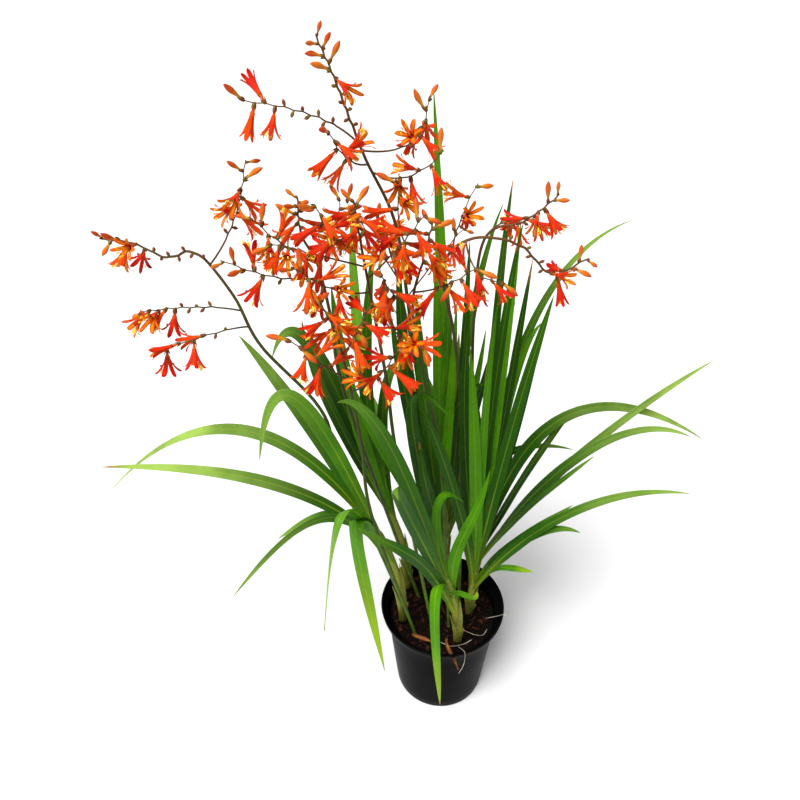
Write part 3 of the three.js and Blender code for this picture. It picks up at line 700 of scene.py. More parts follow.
def sheath_finish():
    """The overlapping leaf bases: yellow-green with dark ribs and painted shade along their sides, brown and
    papery low down.
    """
    f = Finish("sheath_pale_green")
    along, across = f.value("along"), f.value("across")
    stripe = f.stripes(across, 19)
    color = f.ramp(
        along,
        (0.0, (0.040, 0.018, 0.006)),
        (0.09, (0.10, 0.075, 0.012)),
        (0.26, (0.42, 0.42, 0.055)),
        (0.55, (0.38, 0.44, 0.045)),
        (1.0, (0.24, 0.36, 0.020)),
    )
    rags = f.times(f.spread(f.noise(30.0, 5.0), 0.46, 0.6, 0.0, 0.85), f.spread(along, 0.05, 0.5, 1.0, 0.0))
    color = f.mix(rags, color, (0.060, 0.020, 0.008))
    # Painted shade: the sheath is darkened to a deeper green towards its sides, where its round section turns
    # away from the light.
    color = f.tint(color, (0.020, 0.085, 0.003), f.away_from_middle(across), 0.35, 0.95, 0.0, 0.6)
    color = f.tint(color, (0.020, 0.036, 0.005), stripe, -1.0, 0.0, 0.55, 0.0)
    color = f.tint(color, (0.46, 0.46, 0.08), stripe, 0.2, 1.0, 0.0, 0.25)
    return f.done(color, f.patches(f.noise(60.0), 0.4, 0.6), 0.15, stripe, 0.5, 0.0006, 0.03)


def stem_finish():
    """Wiry stem: green below, turning dark purple-brown and then rusty where it carries flowers."""
    f = Finish("stem_brown_green")
    color = f.ramp(
        f.value("along"),
        (0.0, (0.11, 0.20, 0.02)),
        (0.45, (0.045, 0.10, 0.010)),
        (0.7, (0.040, 0.062, 0.009)),
        (0.86, (0.085, 0.050, 0.014)),
        (1.0, (0.18, 0.075, 0.022)),
    )
    color = f.tint(color, (0.060, 0.016, 0.007), f.noise(55.0), 0.4, 0.65, 0.0, 0.45)
    return f.done(color, f.patches(f.noise(80.0), 0.35, 0.55), 0.1, f.noise(260.0), 0.25, 0.0004)


def petal_finish():
    """Petals red outside and orange inside, darker at the tip, with a yellow throat and fine veins."""
    f = Finish("petal_orange_red")
    along, across, tone, front = (f.value(name) for name in ("along", "across", "tone", "front"))
    vein = f.stripes(across, 8)
    color = f.ramp(
        along,
        (0.0, (0.52, 0.085, 0.005)),
        (0.2, (0.62, 0.050, 0.004)),
        (0.42, (0.64, 0.018, 0.003)),
        (0.75, (0.54, 0.010, 0.003)),
        (1.0, (0.30, 0.006, 0.003)),
    )
    color = f.tint(color, (0.84, 0.105, 0.004), tone, 0.45, 1.0, 0.0, 0.7)
    color = f.mix(f.times(front, 0.55), color, (0.90, 0.16, 0.004))
    color = f.tint(color, (0.36, 0.008, 0.002), vein, 0.1, 1.0, 0.0, 0.35)
    rib = f.math("SUBTRACT", 1.0, f.times(f.away_from_middle(across), 1.4), clamp=True)
    throat = f.times(rib, f.spread(along, 0.4, 0.95, 1.0, 0.0))
    color = f.mix(f.times(throat, front), color, (0.95, 0.48, 0.012))
    return f.done(color, f.patches(f.noise(90.0), 0.38, 0.55), 0.06, vein, 0.3, 0.0003, 0.05)


def bud_finish():
    """Buds: green-brown at the foot, then yellow-orange to red at the point."""
    f = Finish("bud_orange")
    color = f.ramp(
        f.value("along"),
        (0.0, (0.10, 0.13, 0.015)),
        (0.25, (0.50, 0.26, 0.012)),
        (0.5, (0.56, 0.085, 0.007)),
        (0.85, (0.42, 0.030, 0.005)),
        (1.0, (0.30, 0.07, 0.015)),
    )
    color = f.tint(color, (0.64, 0.21, 0.012), f.value("tone"), 0.3, 1.0, 0.0, 0.5)
    return f.done(color, f.patches(f.noise(120.0), 0.35, 0.5), 0.15, f.noise(300.0), 0.2, 0.0003, 0.06)


def stamen_finish():
    """Orange threads with yellow anthers."""
    f = Finish("stamen_yellow")
    color = f.ramp(
        f.value("along"),
        (0.0, (0.90, 0.30, 0.02)),
        (0.7, (0.95, 0.45, 0.03)),
        (0.8, (0.95, 0.62, 0.06)),
    )
    return f.done(color, f.patches(f.noise(400.0), 0.55, 0.8), 0.3, f.noise(900.0), 0.4, 0.0002)


def bract_finish():
    """Bracts and old flower stubs: green-brown, papery and reddish at their points."""
    f = Finish("bract_green_brown")
    color = f.ramp(
        f.value("along"),
        (0.0, (0.10, 0.060, 0.014)),
        (0.6, (0.19, 0.050, 0.014)),
        (1.0, (0.30, 0.050, 0.016)),
    )
    color = f.tint(color, (0.17, 0.22, 0.03), f.value("tone"), 0.65, 1.0, 0.0, 0.5)
    return f.done(color, f.patches(f.noise(150.0), 0.45, 0.65), 0.1, f.noise(400.0), 0.3, 0.0003)


def pot_finish():
    """Black moulded plastic with a light dusting and fine scuffs."""
    f = Finish("pot_black_plastic")
    dust = f.spread(f.noise(7.0, 6.0, 0.65), 0.5, 0.85, 0.0, 0.3)
    color = f.mix(dust, (0.0022, 0.0022, 0.0026), (0.012, 0.011, 0.0095))
    color = f.tint(color, (0.010, 0.010, 0.011), f.noise(160.0, 3.0, 0.7), 0.62, 0.75, 0.0, 0.4)
    gloss = f.spread(f.noise(18.0, 5.0), 0.3, 0.75, 0.3, 0.42)
    return f.done(color, gloss, 0.012, f.noise(500.0, 3.0), 0.12, 0.0002)


def soil_finish():
    """Dark crumbly compost with a reddish cast."""
    f = Finish("soil_compost")
    crumbs = f.noise(120.0, 8.0, 0.7)
    color = f.ramp(
        crumbs,
        (0.3, (0.002, 0.0014, 0.001)),
        (0.55, (0.006, 0.003, 0.002)),
        (0.75, (0.020, 0.008, 0.005)),
    )
    color = f.tint(color, (0.003, 0.002, 0.0015), f.noise(16.0), 0.4, 0.65, 0.0, 0.5)
    relief = f.math("ADD", crumbs, f.noise(500.0, 4.0))
    return f.done(color, f.patches(crumbs, 0.75, 0.95), 0.06, relief, 0.8, 0.002)


def chip_finish():
    """Composted bark chips."""
    f = Finish("bark_chip")
    grain = f.noise(220.0, 6.0, 0.7)
    color = f.ramp(
        f.value("tone"),
        (0.0, (0.003, 0.002, 0.0015)),
        (0.6, (0.012, 0.004, 0.003)),
        (1.0, (0.058, 0.014, 0.008)),
    )
    color = f.tint(color, (0.004, 0.0025, 0.002), grain, 0.4, 0.65, 0.0, 0.6)
    return f.done(color, f.patches(grain, 0.7, 0.92), 0.08, grain, 0.6, 0.001)


def dry_leaf_finish():
    """A leaf that has dried orange-brown, darker at its edges."""
    f = Finish("leaf_dry")
    color = f.ramp(
        f.noise(60.0, 5.0),
        (0.3, (0.085, 0.022, 0.005)),
        (0.55, (0.26, 0.085, 0.010)),
        (0.75, (0.42, 0.22, 0.03)),
    )
    color = f.tint(color, (0.05, 0.014, 0.004), f.away_from_middle(f.value("across")), 0.3, 1.0, 0.0, 0.85)
    return f.done(color, f.patches(f.noise(80.0), 0.5, 0.75), 0.3, f.noise(200.0), 0.5, 0.0006)


def root_finish():
    """Fine pale roots."""
    f = Finish("root_pale")
    color = f.ramp(f.noise(90.0), (0.35, (0.55, 0.47, 0.36)), (0.6, (0.78, 0.72, 0.62)))
    return f.done(color, f.patches(f.noise(60.0), 0.5, 0.7), 0.3, f.noise(400.0), 0.3, 0.0002)


LEAF = leaf_finish()
SHEATH = sheath_finish()
STEM = stem_finish()
PETAL = petal_finish()
BUD = bud_finish()
STAMEN = stamen_finish()
BRACT = bract_finish()


# Geometry Nodes trees.


class NodeTree(Nodes):
    """A geometry node tree with named inputs."""

    def __init__(self, name):
        super().__init__(bpy.data.node_groups.new(name, "GeometryNodeTree"))
        self.tree.is_modifier = True
        self.input("Geometry", "Geometry")
        self.tree.interface.new_socket(name="Geometry", in_out="OUTPUT", socket_type="NodeSocketGeometry")
        self.entry = self.node("NodeGroupInput")
        self.exit = self.node("NodeGroupOutput")

    def input(self, name, kind):
        self.tree.interface.new_socket(name=name, in_out="INPUT", socket_type="NodeSocket" + kind)

    def inputs(self, **kinds):
        """Adds inputs of the kinds and gives their sockets. An input's spaces are written as underscores."""
        for name, kind in kinds.items():
            self.input(name.replace("_", " "), kind)
        return [self.entry.outputs[name.replace("_", " ")] for name in kinds]

    def value(self, name, data_type="FLOAT"):
        """A value stored on the points."""
        stored = self.node("GeometryNodeInputNamedAttribute", {"Name": name}, data_type=data_type)
        return stored.outputs["Attribute"]

    def random(self, low, high, seed):
        data_type = "FLOAT_VECTOR" if isinstance(high, tuple) else "FLOAT"
        made = self.node("FunctionNodeRandomValue", {"Seed": seed}, data_type=data_type)
        sockets = [s for s in made.inputs if s.enabled and s.name in ("Min", "Max")]
        for socket, number in zip(sockets, (low, high)):
            self.feed(socket, number)
        return next(s for s in made.outputs if s.enabled)

    def instances(self, part, points, turn, size, **more):
        """An object's mesh on each point, turned and sized."""
        mesh = self.node("GeometryNodeObjectInfo", {"Object": part}).outputs["Geometry"]
        inputs = {"Instance": mesh, "Points": points, "Rotation": turn, "Scale": size, **more}
        return self.node("GeometryNodeInstanceOnPoints", inputs).outputs["Instances"]

    def finish(self, geometry, material):
        """Realized geometry with its material set."""
        real = self.node("GeometryNodeRealizeInstances", {"Geometry": geometry}).outputs[0]
        return self.node("GeometryNodeSetMaterial", {"Geometry": real, "Material": material}).outputs[0]

    def end(self, *parts):
        joined = self.node("GeometryNodeJoinGeometry")
        for part in reversed(parts):
            self.feed(joined.inputs[0], part)
        self.feed(self.exit.inputs["Geometry"], joined.outputs[0])
        return self

    def bake(self, name, mesh, **inputs):
        """The plain mesh that the tree makes of a mesh. An input's spaces are written as underscores."""
        source = link(name, mesh)
        modifier = source.modifiers.new(self.tree.name, "NODES")
        modifier.node_group = self.tree
        for item in self.tree.interface.items_tree:
            key = item.name.replace(" ", "_")
            if item.in_out == "INPUT" and key in inputs:
                modifier[item.identifier] = inputs[key]
        graph = bpy.context.evaluated_depsgraph_get()
        shown = source.evaluated_get(graph)
        baked = bpy.data.meshes.new_from_object(shown, preserve_all_data_layers=True, depsgraph=graph)
        source.modifiers.remove(modifier)
        bpy.data.objects.remove(source)
        baked.name = name
        baked.shade_smooth()
        return baked


def stem_tree():
    """Skins lines of points with a round section of the thickness stored on them."""
    tree = NodeTree("stem_skin")
    sides, finish = tree.inputs(Sides="Int", Finish="Material")
    line = tree.node("GeometryNodeMeshToCurve", {"Mesh": tree.entry.outputs["Geometry"]})
    circle = tree.node("GeometryNodeCurvePrimitiveCircle", {"Resolution": sides, "Radius": 1.0})
    inputs = {
        "Curve": line.outputs["Curve"],
        "Profile Curve": circle.outputs["Curve"],
        "Scale": tree.value("thickness"),
        "Fill Caps": True,
    }
    return tree.end(tree.finish(tree.node("GeometryNodeCurveToMesh", inputs).outputs["Mesh"], finish))


def floret_tree(parts):
    """Sets each part of a flower, bud or stub on the points of its kind, turned and sized as they say."""
    tree = NodeTree("florets_on_stem")
    points, kind = tree.entry.outputs["Geometry"], tree.value("kind", "INT")
    turn, size = tree.value("turn", "QUATERNION"), tree.value("size", "FLOAT_VECTOR")
    made = []
    for name, part_kind, _, _ in parts:
        part, finish = tree.inputs(**{name: "Object", name + "_finish": "Material"})
        alike = {2: kind, 3: KINDS.index(part_kind)}
        chosen = tree.node("FunctionNodeCompare", alike, data_type="INT", operation="EQUAL")
        placed = tree.instances(part, points, turn, size, Selection=chosen.outputs["Result"])
        made.append(tree.finish(placed, finish))
    return tree.end(*made)


def chip_tree(shapes):
    """Strews chips over the part of a surface marked as top, each turned, sized and toned at random."""
    tree = NodeTree("chips_on_soil")
    finish, seed, smallest, largest, density = tree.inputs(
        Finish="Material", Seed="Int", Smallest="Float", Largest="Float", Density="Float"
    )
    strewn = {"Mesh": tree.entry.outputs["Geometry"], "Selection": tree.value("top"), "Density": density}
    made = []
    for k, shape_name in enumerate(shapes):
        (part,) = tree.inputs(**{shape_name: "Object"})
        own_seed = tree.node("ShaderNodeMath", {0: seed, 1: float(k)}, operation="ADD").outputs[0]
        strewing = tree.node("GeometryNodeDistributePointsOnFaces", {**strewn, "Seed": own_seed})
        angles = tree.random((0, 0, 0), (0.9, 0.9, 6.28), own_seed)
        turn = tree.node("FunctionNodeEulerToRotation", {"Euler": angles}).outputs[0]
        size = tree.random(smallest, largest, own_seed)
        placed = tree.instances(part, strewing.outputs["Points"], turn, size)
        tone = {"Geometry": placed, "Name": "tone", "Value": tree.random(0.0, 1.0, own_seed)}
        toned = tree.node("GeometryNodeStoreNamedAttribute", tone, domain="INSTANCE")
        made.append(tree.finish(toned.outputs["Geometry"], finish))
    return tree.end(*made)


# Leaf fans.


def leaf_spread(u, fullness=2.6, roundness=0.9):
    """How wide a leaf is at a fraction of its length."""
    rise = min(1, u / 0.35)
    shoulder = 0.35 + 0.65 * rise * rise * (3 - 2 * rise)
    return shoulder * (1 - u**fullness) ** roundness


def blade_spread(u, hanging):
    """How wide the shown blade is: a little fuller near its tip than the solid, most of all if it hangs."""
    return max(0.01, leaf_spread(u, 6 if hanging else 3.4, 0.85))


def fan_side(fan):
    return level(math.radians(fan["facing"]))


def sheath_curve(fan):
    x, y = fan["foot"]
    top = SOIL_TOP + SOIL_MOUND
    crown = fan["crown"]
    return bezier([(x, y, top), (x, y, top + 0.5 * (crown[2] - SOIL_TOP)), crown])


def sheath_size(u):
    """How large the sheath's section is at a fraction of its curve."""
    return (1 - SHEATH_TAPER * u) * np.interp(u, [0, FOOT_END], [FOOT_SHARE, 1])


def fill_leaf(fan, number, k):
    """A leaf placed by rule behind the others. A long one droops at its tip."""
    middle, count = fan["fills"]
    seed = FILL_SEED * number + FILL_LEAF_SEED * k
    turn = middle + (k - 0.5 * (count - 1)) * FILL_SPACING + FILL_STRAY * (draw(seed) - 0.5)
    out = level(math.radians(turn))
    reach = 60 + 190 * draw(seed + 1)
    height = 120 + 140 * draw(seed + 2)
    droop = 120 if reach > DROOP_REACH else -70
    crown = np.array(fan["crown"], float)
    bend = crown + out * (0.5 * reach) + UP * height
    tip = crown + out * reach + UP * (height - droop)
    return [bend, tip, 14 + 6 * draw(seed + 3), 50 * draw(seed + 4)]


def leaf_rows(fan, number):
    """For each leaf of a fan: the handles of each place that it may have taken, its side, width and twist."""
    sheath, side = sheath_curve(fan), fan_side(fan)
    across = np.cross(UP, side)
    rows = [*fan["leaves"], *(fill_leaf(fan, number, k) for k in range(fan["fills"][1]))]
    depths = [np.array(row[0], float).dot(across) for row in rows]
    crown = np.array(fan["crown"], float)
    made = []
    for k, (bend, tip, width, twist) in enumerate(rows):
        order = (k % len(fan["leaves"])) / len(fan["leaves"])
        share = fan["lowest"] + (HIGHEST_LEAF - fan["lowest"]) * order
        layer = sum(depth < depths[k] for depth in depths) - 0.5 * (len(rows) - 1)
        bend, tip = np.array(bend, float), np.array(tip, float)
        root = sheath(share) + across * (ROOT_LAYER_GAP * layer)
        near = crown + (bend - crown) * CROWN_SHARE + across * (LAYER_GAP * layer)
        places = [(root, near, in_depth(bend, d), in_depth(tip, d)) for d in DEPTH_STEPS]
        rightward = (tip - crown).dot(side) > 0
        made.append((places, side, width, math.radians(-twist if rightward else twist)))
    return made


def leaf_marks(handles, side, width, twist):
    """Corners that the solid leaf has near its tip."""
    frames = carried_frames(bezier(handles), LEAF_STEPS, side)
    marks = [np.array(handles[3], float)]
    for station in LEAF_MARKS:
        at, t, carried = frames[station]
        u = station / LEAF_STEPS
        flat = turned(carried, t, twist * u)
        half = 0.5 * width * leaf_spread(u)
        marks += [at + flat * half, at - flat * half]
    return marks


def add_leaf(skin, handles, side, width, twist, seed):
    """A blade with a keel and lengthwise pleats that sways a little and ends in a point."""
    hanging = handles[3][2] < LOW_TIP
    stations = []
    for i, (at, t, carried) in enumerate(carried_frames(bezier(handles), LEAF_STEPS, side)):
        u = i / LEAF_STEPS
        sway = SWAY * math.sin(11 * u + 6 * draw(seed + 0.6)) * min(1, 3 * u)
        wave = 1 + EDGE_WAVE * math.sin(9 * u + 6 * draw(seed))
        flat = turned(carried, t, twist * u + sway)
        half = 0.5 * width * blade_spread(u, hanging) * wave
        keel = LEAF_THICKNESS * (1 - 0.35 * u) - 0.6
        stations.append((at, flat, np.cross(t, flat), half, keel, PLEAT_DEPTH * min(1, 4 * (1 - u))))

    def place(i, v):
        at, flat, face, half, keel, pleat = stations[i]
        ridge = -math.cos(0.5 * math.pi * LEAF_COLUMNS * (v + 1))
        rise = keel * (1 - abs(v)) ** 1.3 + pleat * ridge * (1 - v * v)
        slope = 0.8 * keel * np.sign(v) / max(half, 1.0)
        return at + flat * (v * half) + face * rise, unit(face + flat * slope)

    tone = OLD_LEAF_TONE if hanging else draw(seed + 0.3)
    add_blade(skin, LEAF_STEPS, LEAF_COLUMNS, place, EDGE_THICKNESS, tone=tone, old=float(hanging))


def add_sheath(skin, fan, frames):
    """The folded leaf bases, ridged lengthwise, from the soil to the crown."""
    foot = np.array([*fan["foot"], SOIL_TOP - 8.0])
    rows = [(foot, UP, fan_side(fan)), *frames[: 1 + round(SHEATH_STEPS * SHEATH_SHARE)]]
    corners, along, across = [], [], []
    for i, (at, t, carried) in enumerate(rows):
        u = max(0, i - 1) / SHEATH_STEPS
        size = sheath_size(u) * (0.5 if i == len(rows) - 1 else 1)
        section = (SHEATH_WIDTH * size, SHEATH_THICKNESS * size, SHEATH_SIDES)
        for k, corner in enumerate(ring(at, carried, np.cross(t, carried), *section)):
            corners.append(at + (corner - at) * (1.03 if k % 2 else 0.97))
            along.append(u)
            across.append(math.cos(2 * math.pi * k / SHEATH_SIDES))
    skin.add(corners, tube_faces(len(rows), SHEATH_SIDES), along=along, across=across)


def add_scales(skin, frames):
    """Short pointed outer leaves that clasp the foot of a shoot, each round one edge of it."""
    for k, (reach, facing) in enumerate(((5, 0), (9, math.pi), (14, 0))):

        def place(i, v):
            at, t, carried = frames[i]
            u = i / reach
            turn = (2.3 * math.sqrt(max(0.0, 1 - u)) + 0.03) * v + facing
            beside = np.cross(t, carried)
            out = carried * math.cos(turn) * SHEATH_WIDTH + beside * math.sin(turn) * SHEATH_THICKNESS
            lift = 0.7 + 0.25 * (3 - k) + 2.2 * u * u
            return at + out * (0.5 * sheath_size(i / SHEATH_STEPS)) + unit(out) * lift, unit(out)

        add_blade(skin, reach, 8, place, EDGE_THICKNESS, along=(0.05 + 0.08 * k, 0.27 + 0.08 * k))


def put_fan(number, name, fan):
    """Dresses one shoot: its blades in one piece, and its sheath and scales in another."""
    node, blades, sheath = NodeCorners(name), Skin(), Skin()
    for k, (places, side, width, twist) in enumerate(leaf_rows(fan, number)):
        place = node.taken(places, lambda handles: leaf_marks(handles, side, width, twist))
        if place is not None:
            add_leaf(blades, place, side, width, twist, FAN_SEED * number + k)
    frames = carried_frames(sheath_curve(fan), SHEATH_STEPS, fan_side(fan))
    add_sheath(sheath, fan, frames)
    add_scales(sheath, frames)
    put_in_scene(blades.mesh(name + "_blades", LEAF), name)
    put_in_scene(sheath.mesh(name + "_sheath", SHEATH), name)


for number, (name, fan) in enumerate(FANS.items()):
    put_fan(number, name, fan)


# Flowers, buds and stubs: the shape of each, upright at the origin.


def petal_size(opened):
    """How far out and up the tips of a flower's petals are."""
    return PETAL_REACH * (0.4 + 0.6 * opened), TUBE_LENGTH + PETAL_RISE * (1.45 - 0.45 * opened)


def add_corolla(skin, opened, seed):
    """Six petals that join in a tube, each a thin cupped blade with a ridge, every other one broader."""
    reach, top = petal_size(opened)
    throat = THROAT_RADIUS * (0.62 + 0.3 * opened)
    steps = 9
    for k in range(PETALS):
        broad = 1.12 if k % 2 else 0.9
        longer = 0.92 + 0.12 * draw(seed + k)
        flare = (1.0 + 6.5 * draw(seed + k + 0.5)) * opened
        aslant = 2.6 * (draw(seed + 2 * k) - 0.5)
        out = level(2 * math.pi * k / PETALS)
        aside = np.cross(UP, out)
        tip = (reach * longer, 0, top - flare)
        profile = bezier([(2.3, 0, 9.5), (throat - 1.8, 0, 18.0), (0.68 * reach, 0, top - 1.5), tip])
        widths = [1.35, 2.1, 2.5 * broad, 2.1 * broad, 1.1, 0.12]

        def place(i, v):
            t = i / steps
            radius, _, height = profile(t)
            d = tangent(profile, t)
            half = np.interp(t, [0, 0.25, 0.55, 0.8, 0.93, 1], widths)
            flat = min(1, max(0, (t - 0.15) / 0.3))
            turn = v * half / radius
            around = out * math.cos(turn) + aside * math.sin(turn)
            spread = out * radius + aside * (v * half + aslant * t * t)
            normal = unit(UP * d[0] - (around * (1 - flat) + out * flat) * d[2])
            cup = flat * (0.28 * v * v * half * (1 - 0.7 * t) + 0.3 * (1 - abs(v)))
            return around * radius * (1 - flat) + spread * flat + UP * height + normal * cup, normal

        add_blade(skin, steps, 4, place, PETAL_THICKNESS, along=(0.15, 1.0))
    tube = [(0.9, 0.3), (1.1, 3.5), (1.45, 6.5), (2.25, 9.8), (2.5, 10.6), (1.2, 11.2)]
    add_turned(skin, tube, 12, along=(0.0, 0.16))


def add_stamens(skin, opened):
    """Three stamens that lean one way and a longer three-forked style."""
    top, spread = (30.0, 1.0) if opened > 0.5 else (31.5, 0.35)
    for k in range(3):
        lean = level(0.5 + 0.8 * (k - 1))
        x, y, z = tip = spread * 7.0 * lean + (top - 2 + 1.1 * k) * UP
        add_wire(skin, [(0.5, 0, 9), 1.5 * lean + 20 * UP, tip], 0.3, 4, 0.0, 0.6)
        add_wire(skin, [(x - 0.3, y, z - 2.6), (x + 0.4, y, z), (x + 0.9, y, z + 2.6)], 0.85, 5, 0.85, 1.0)
    fork = (spread * 5.0, 0, top + 1.5)
    add_wire(skin, [(0, 0.4, 9), (1.2, 0.2, 21), fork], 0.25, 4, 0.0, 0.6)
    for k in range(3):
        end = (fork[0] + 1.6 * math.cos(2.1 * k), 1.6 * math.sin(2.1 * k), fork[2] + 1.2)
        middle = tuple(0.5 * (a + b) for a, b in zip(fork, end))
        add_wire(skin, [fork, middle, end], 0.25, 3, 0.5, 0.7)


def add_bracts(skin):
    """Two pointed bracts that clasp the foot of a flower or bud, round the small green ovary."""
    add_turned(skin, [(0.8, -0.6), (1.75, 1.0), (1.9, 2.4), (1.3, 3.8), (0.9, 4.6)], 8, along=(0.0, 0.3))
    steps = 4
    for k in range(2):

        def place(i, v):
            u = i / steps
            out = level(math.pi * k + 0.4 + np.interp(u, [0, 0.4, 1], [1.3, 1.0, 0.05]) * v)
            return out * (1.3 + 1.3 * math.sin(2.2 * u)) + UP * (-1 + (8.6 - 1.8 * k) * u), out

        add_blade(skin, steps, 4, place, PETAL_THICKNESS)


def add_bud(skin):
    """A slim spindle with three soft lobes."""
    lower = [(0.7, 0), (1.0, 3), (1.5, 7), (2.3, 11), (3.1, 15)]
    upper = [(3.0, 18.5), (2.0, 22), (0.9, 24.2), (0.2, BUD_LENGTH)]
    add_turned(skin, lower + upper, 12, bend=0.9, lobes=3)


def add_stub(skin):
    """What an old flower leaves: a small three-sided capsule with a withered thread."""
    profile = [(0.6, 0), (1.1, 1.2), (1.9, 3.4), (1.8, 5.2), (0.9, 6.6), (0.3, 7.2)]
    add_turned(skin, profile, 9, lobes=3, along=(0.1, 0.9))
    add_wire(skin, [(0, 0, 6.6), (0.3, 0.2, 7.6), (0.9, 0.4, 8.6)], 0.25, 3, 0.8, 1.0)


def shape(name, maker, *sizes):
    """An object of a shape that the node trees repeat."""
    skin = Skin()
    maker(skin, *sizes)
    return bpy.data.objects.new(name, skin.mesh(name))


STAMENS_OPEN = shape("stamens_open", add_stamens, OPEN)
BRACTS = shape("bracts", add_bracts)
PARTS = [
    ("Corolla", "bloom", shape("corolla_open", add_corolla, OPEN, 3), PETAL),
    ("Wide_corolla", "wide_bloom", shape("corolla_wide", add_corolla, OPEN, 17), PETAL),
    ("Closing_corolla", "closing", shape("corolla_closing", add_corolla, CLOSING, 5), PETAL),
    ("Stamens", "bloom", STAMENS_OPEN, STAMEN),
    ("Wide_stamens", "wide_bloom", STAMENS_OPEN, STAMEN),
    ("Closing_stamens", "closing", shape("stamens_closing", add_stamens, CLOSING), STAMEN),
    ("Bud", "bud", shape("bud_shape", add_bud), BUD),
    ("Stub", "stub", shape("stub_shape", add_stub), BRACT),
    *((f"{kind}_bracts", kind, BRACTS, BRACT) for kind in ("bloom", "wide_bloom", "closing", "bud")),
]


# Sprays.


def stem_corners(curve):
    """Corners of the last rings of a faceted branch."""
    frames = carried_frames(curve, SPIKE_RINGS, np.array([1.0, 0.2, 0.1]))
    corners = []
    for i in (SPIKE_RINGS - 1, SPIKE_RINGS):
        at, t, side = frames[i]
        size = 2 * (SPIKE_RADIUS + (SPIKE_TIP_RADIUS - SPIKE_RADIUS) * i / SPIKE_RINGS)
        corners += ring(at, side, np.cross(t, side), size, size, 3)
    return corners


def florets(curve, rings, start, counts, seed):
    """Stubs, flowers and buds in two ranks along one end of a spray, as the solids have them."""
    stubs, blooms, buds = counts
    total = sum(counts)
    sideways = np.cross(UP, curve(1) - curve(start))
    sideways = np.array([0.0, -1.0, 0.0]) if np.linalg.norm(sideways) < 20 else unit(sideways)
    made = []
    for i in range(total):
        u = start + (1 - start) * min(0.985, (i + 0.7) / total)
        t = tangent(curve, u)
        hand = 1 if i % 2 == 0 else -1
        side = turned(unit(np.cross(t, sideways)), t, 1.5 * (draw(seed + i + 0.5) - 0.5)) * hand
        kind = "stub" if i < stubs else "bloom" if i < stubs + blooms else "bud"
        lift = UP * (LIFT[kind] + draw(seed + i))
        facing = unit(t * FORWARD[kind] + side * 0.85 + lift + np.array([0.0, -0.2, 0.0]))
        floret = dict(kind=kind, u=u, tangent=t, facing=facing, side=side, seed=seed + FLORET_SEED * i)
        floret["age"] = (i - stubs - blooms) / max(1, buds) if kind == "bud" else 0
        floret["at"] = stem_middle(curve, rings, u)
        made.append(floret)
    return made


def least_turn(facing):
    return Vector((0, 0, 1)).rotation_difference(Vector(facing))


def floret_places(floret):
    """Every place that a floret may have taken. A flower without room is a bud in its solid."""
    seed = floret["seed"]
    facings = [turned(floret["facing"], floret["tangent"], angle) for angle in ROLL_STEPS]
    if floret["kind"] == "stub":
        return [dict(kind="stub", facing=facing, length=STUB_LENGTH) for facing in facings]
    places = []
    if floret["kind"] == "bloom":
        opened = CLOSING if draw(seed + 2) < 0.2 else 0.75 + 0.25 * draw(seed + 3)
        same = dict(kind="bloom", size=0.92 + 0.16 * draw(seed + 1), open=opened, roll=6 * draw(seed + 4))
        places = [dict(same, facing=facing) for facing in facings]
    length, radius = BUD_LENGTH - BUD_SHORTENS * floret["age"], BUD_RADIUS - BUD_THINS * floret["age"]
    return places + [dict(kind="bud", length=length, radius=radius, facing=facing) for facing in facings]


def floret_marks(floret, place):
    """Corners of the solid floret: its petals' tips or its point."""
    if place["kind"] != "bloom":
        return [floret["at"] + place["facing"] * place["length"]]
    turn_to = least_turn(place["facing"])
    reach, height = petal_size(place["open"])
    marks = []
    for k in range(PETALS):
        local = reach * level(place["roll"] + 2 * math.pi * k / PETALS) + height * UP
        marks.append(floret["at"] + np.array(turn_to @ (Vector(local) * place["size"])))
    return marks


def floret_point(floret, place, at):
    """Where, how turned, how large and of which kind a floret is."""
    seed, kind = floret["seed"], place["kind"]
    wide = tall = 1
    if kind == "bloom":
        kind = "closing" if place["open"] < 0.5 else "bloom" if draw(seed + 6) < 0.5 else "wide_bloom"
        sizes = zip(petal_size(place["open"]), petal_size(CLOSING if kind == "closing" else OPEN))
        wide, tall = (place["size"] * own / base for own, base in sizes)
    elif kind == "bud":
        wide, tall = place["radius"] / BUD_RADIUS, place["length"] / BUD_LENGTH
    turn = least_turn(place["facing"]) @ Quaternion((0, 0, 1), place.get("roll", 5 * draw(seed + 9)))
    return dict(at=at, turn=turn, size=(wide, wide, tall), kind=KINDS.index(kind), tone=draw(seed + 5))


def floret_mesh(points):
    """Points that carry a floret's turn, size, kind and tone."""
    mesh = bpy.data.meshes.new("floret_points")
    mesh.from_pydata([tuple(p["at"] * MM) for p in points], [], [])
    kinds = (("turn", "QUATERNION", "value"), ("size", "FLOAT_VECTOR", "vector"), ("kind", "INT", "value"))
    for name, data_type, field in (*kinds, ("tone", "FLOAT", "value")):
        attribute = mesh.attributes.new(name, data_type, "POINT")
        for item, point in zip(attribute.data, points):
            setattr(item, field, point[name])
    return mesh


def line_mesh(lines):
    """Lines of (point, thickness) pairs."""
    mesh = bpy.data.meshes.new("lines")
    corners, edges, thickness = [], [], []
    for line in lines:
        edges += [(len(corners) + i, len(corners) + i + 1) for i in range(len(line) - 1)]
        corners += [tuple(at * MM) for at, _ in line]
        thickness += [size * MM for _, size in line]
    mesh.from_pydata(corners, edges, [])
    store(mesh, "thickness", thickness)
    return mesh


def zigzag(curve, bends):
    """The curve pushed sideways at each floret, straight in between."""
    if not bends:
        return curve
    places = [bends[0][0] - 0.04, *(u for u, _ in bends)]
    pushes = np.array([np.zeros(3), *(push for _, push in bends)])
    return lambda u: curve(u) + np.array([np.interp(u, places, pushes[:, i]) for i in range(3)])


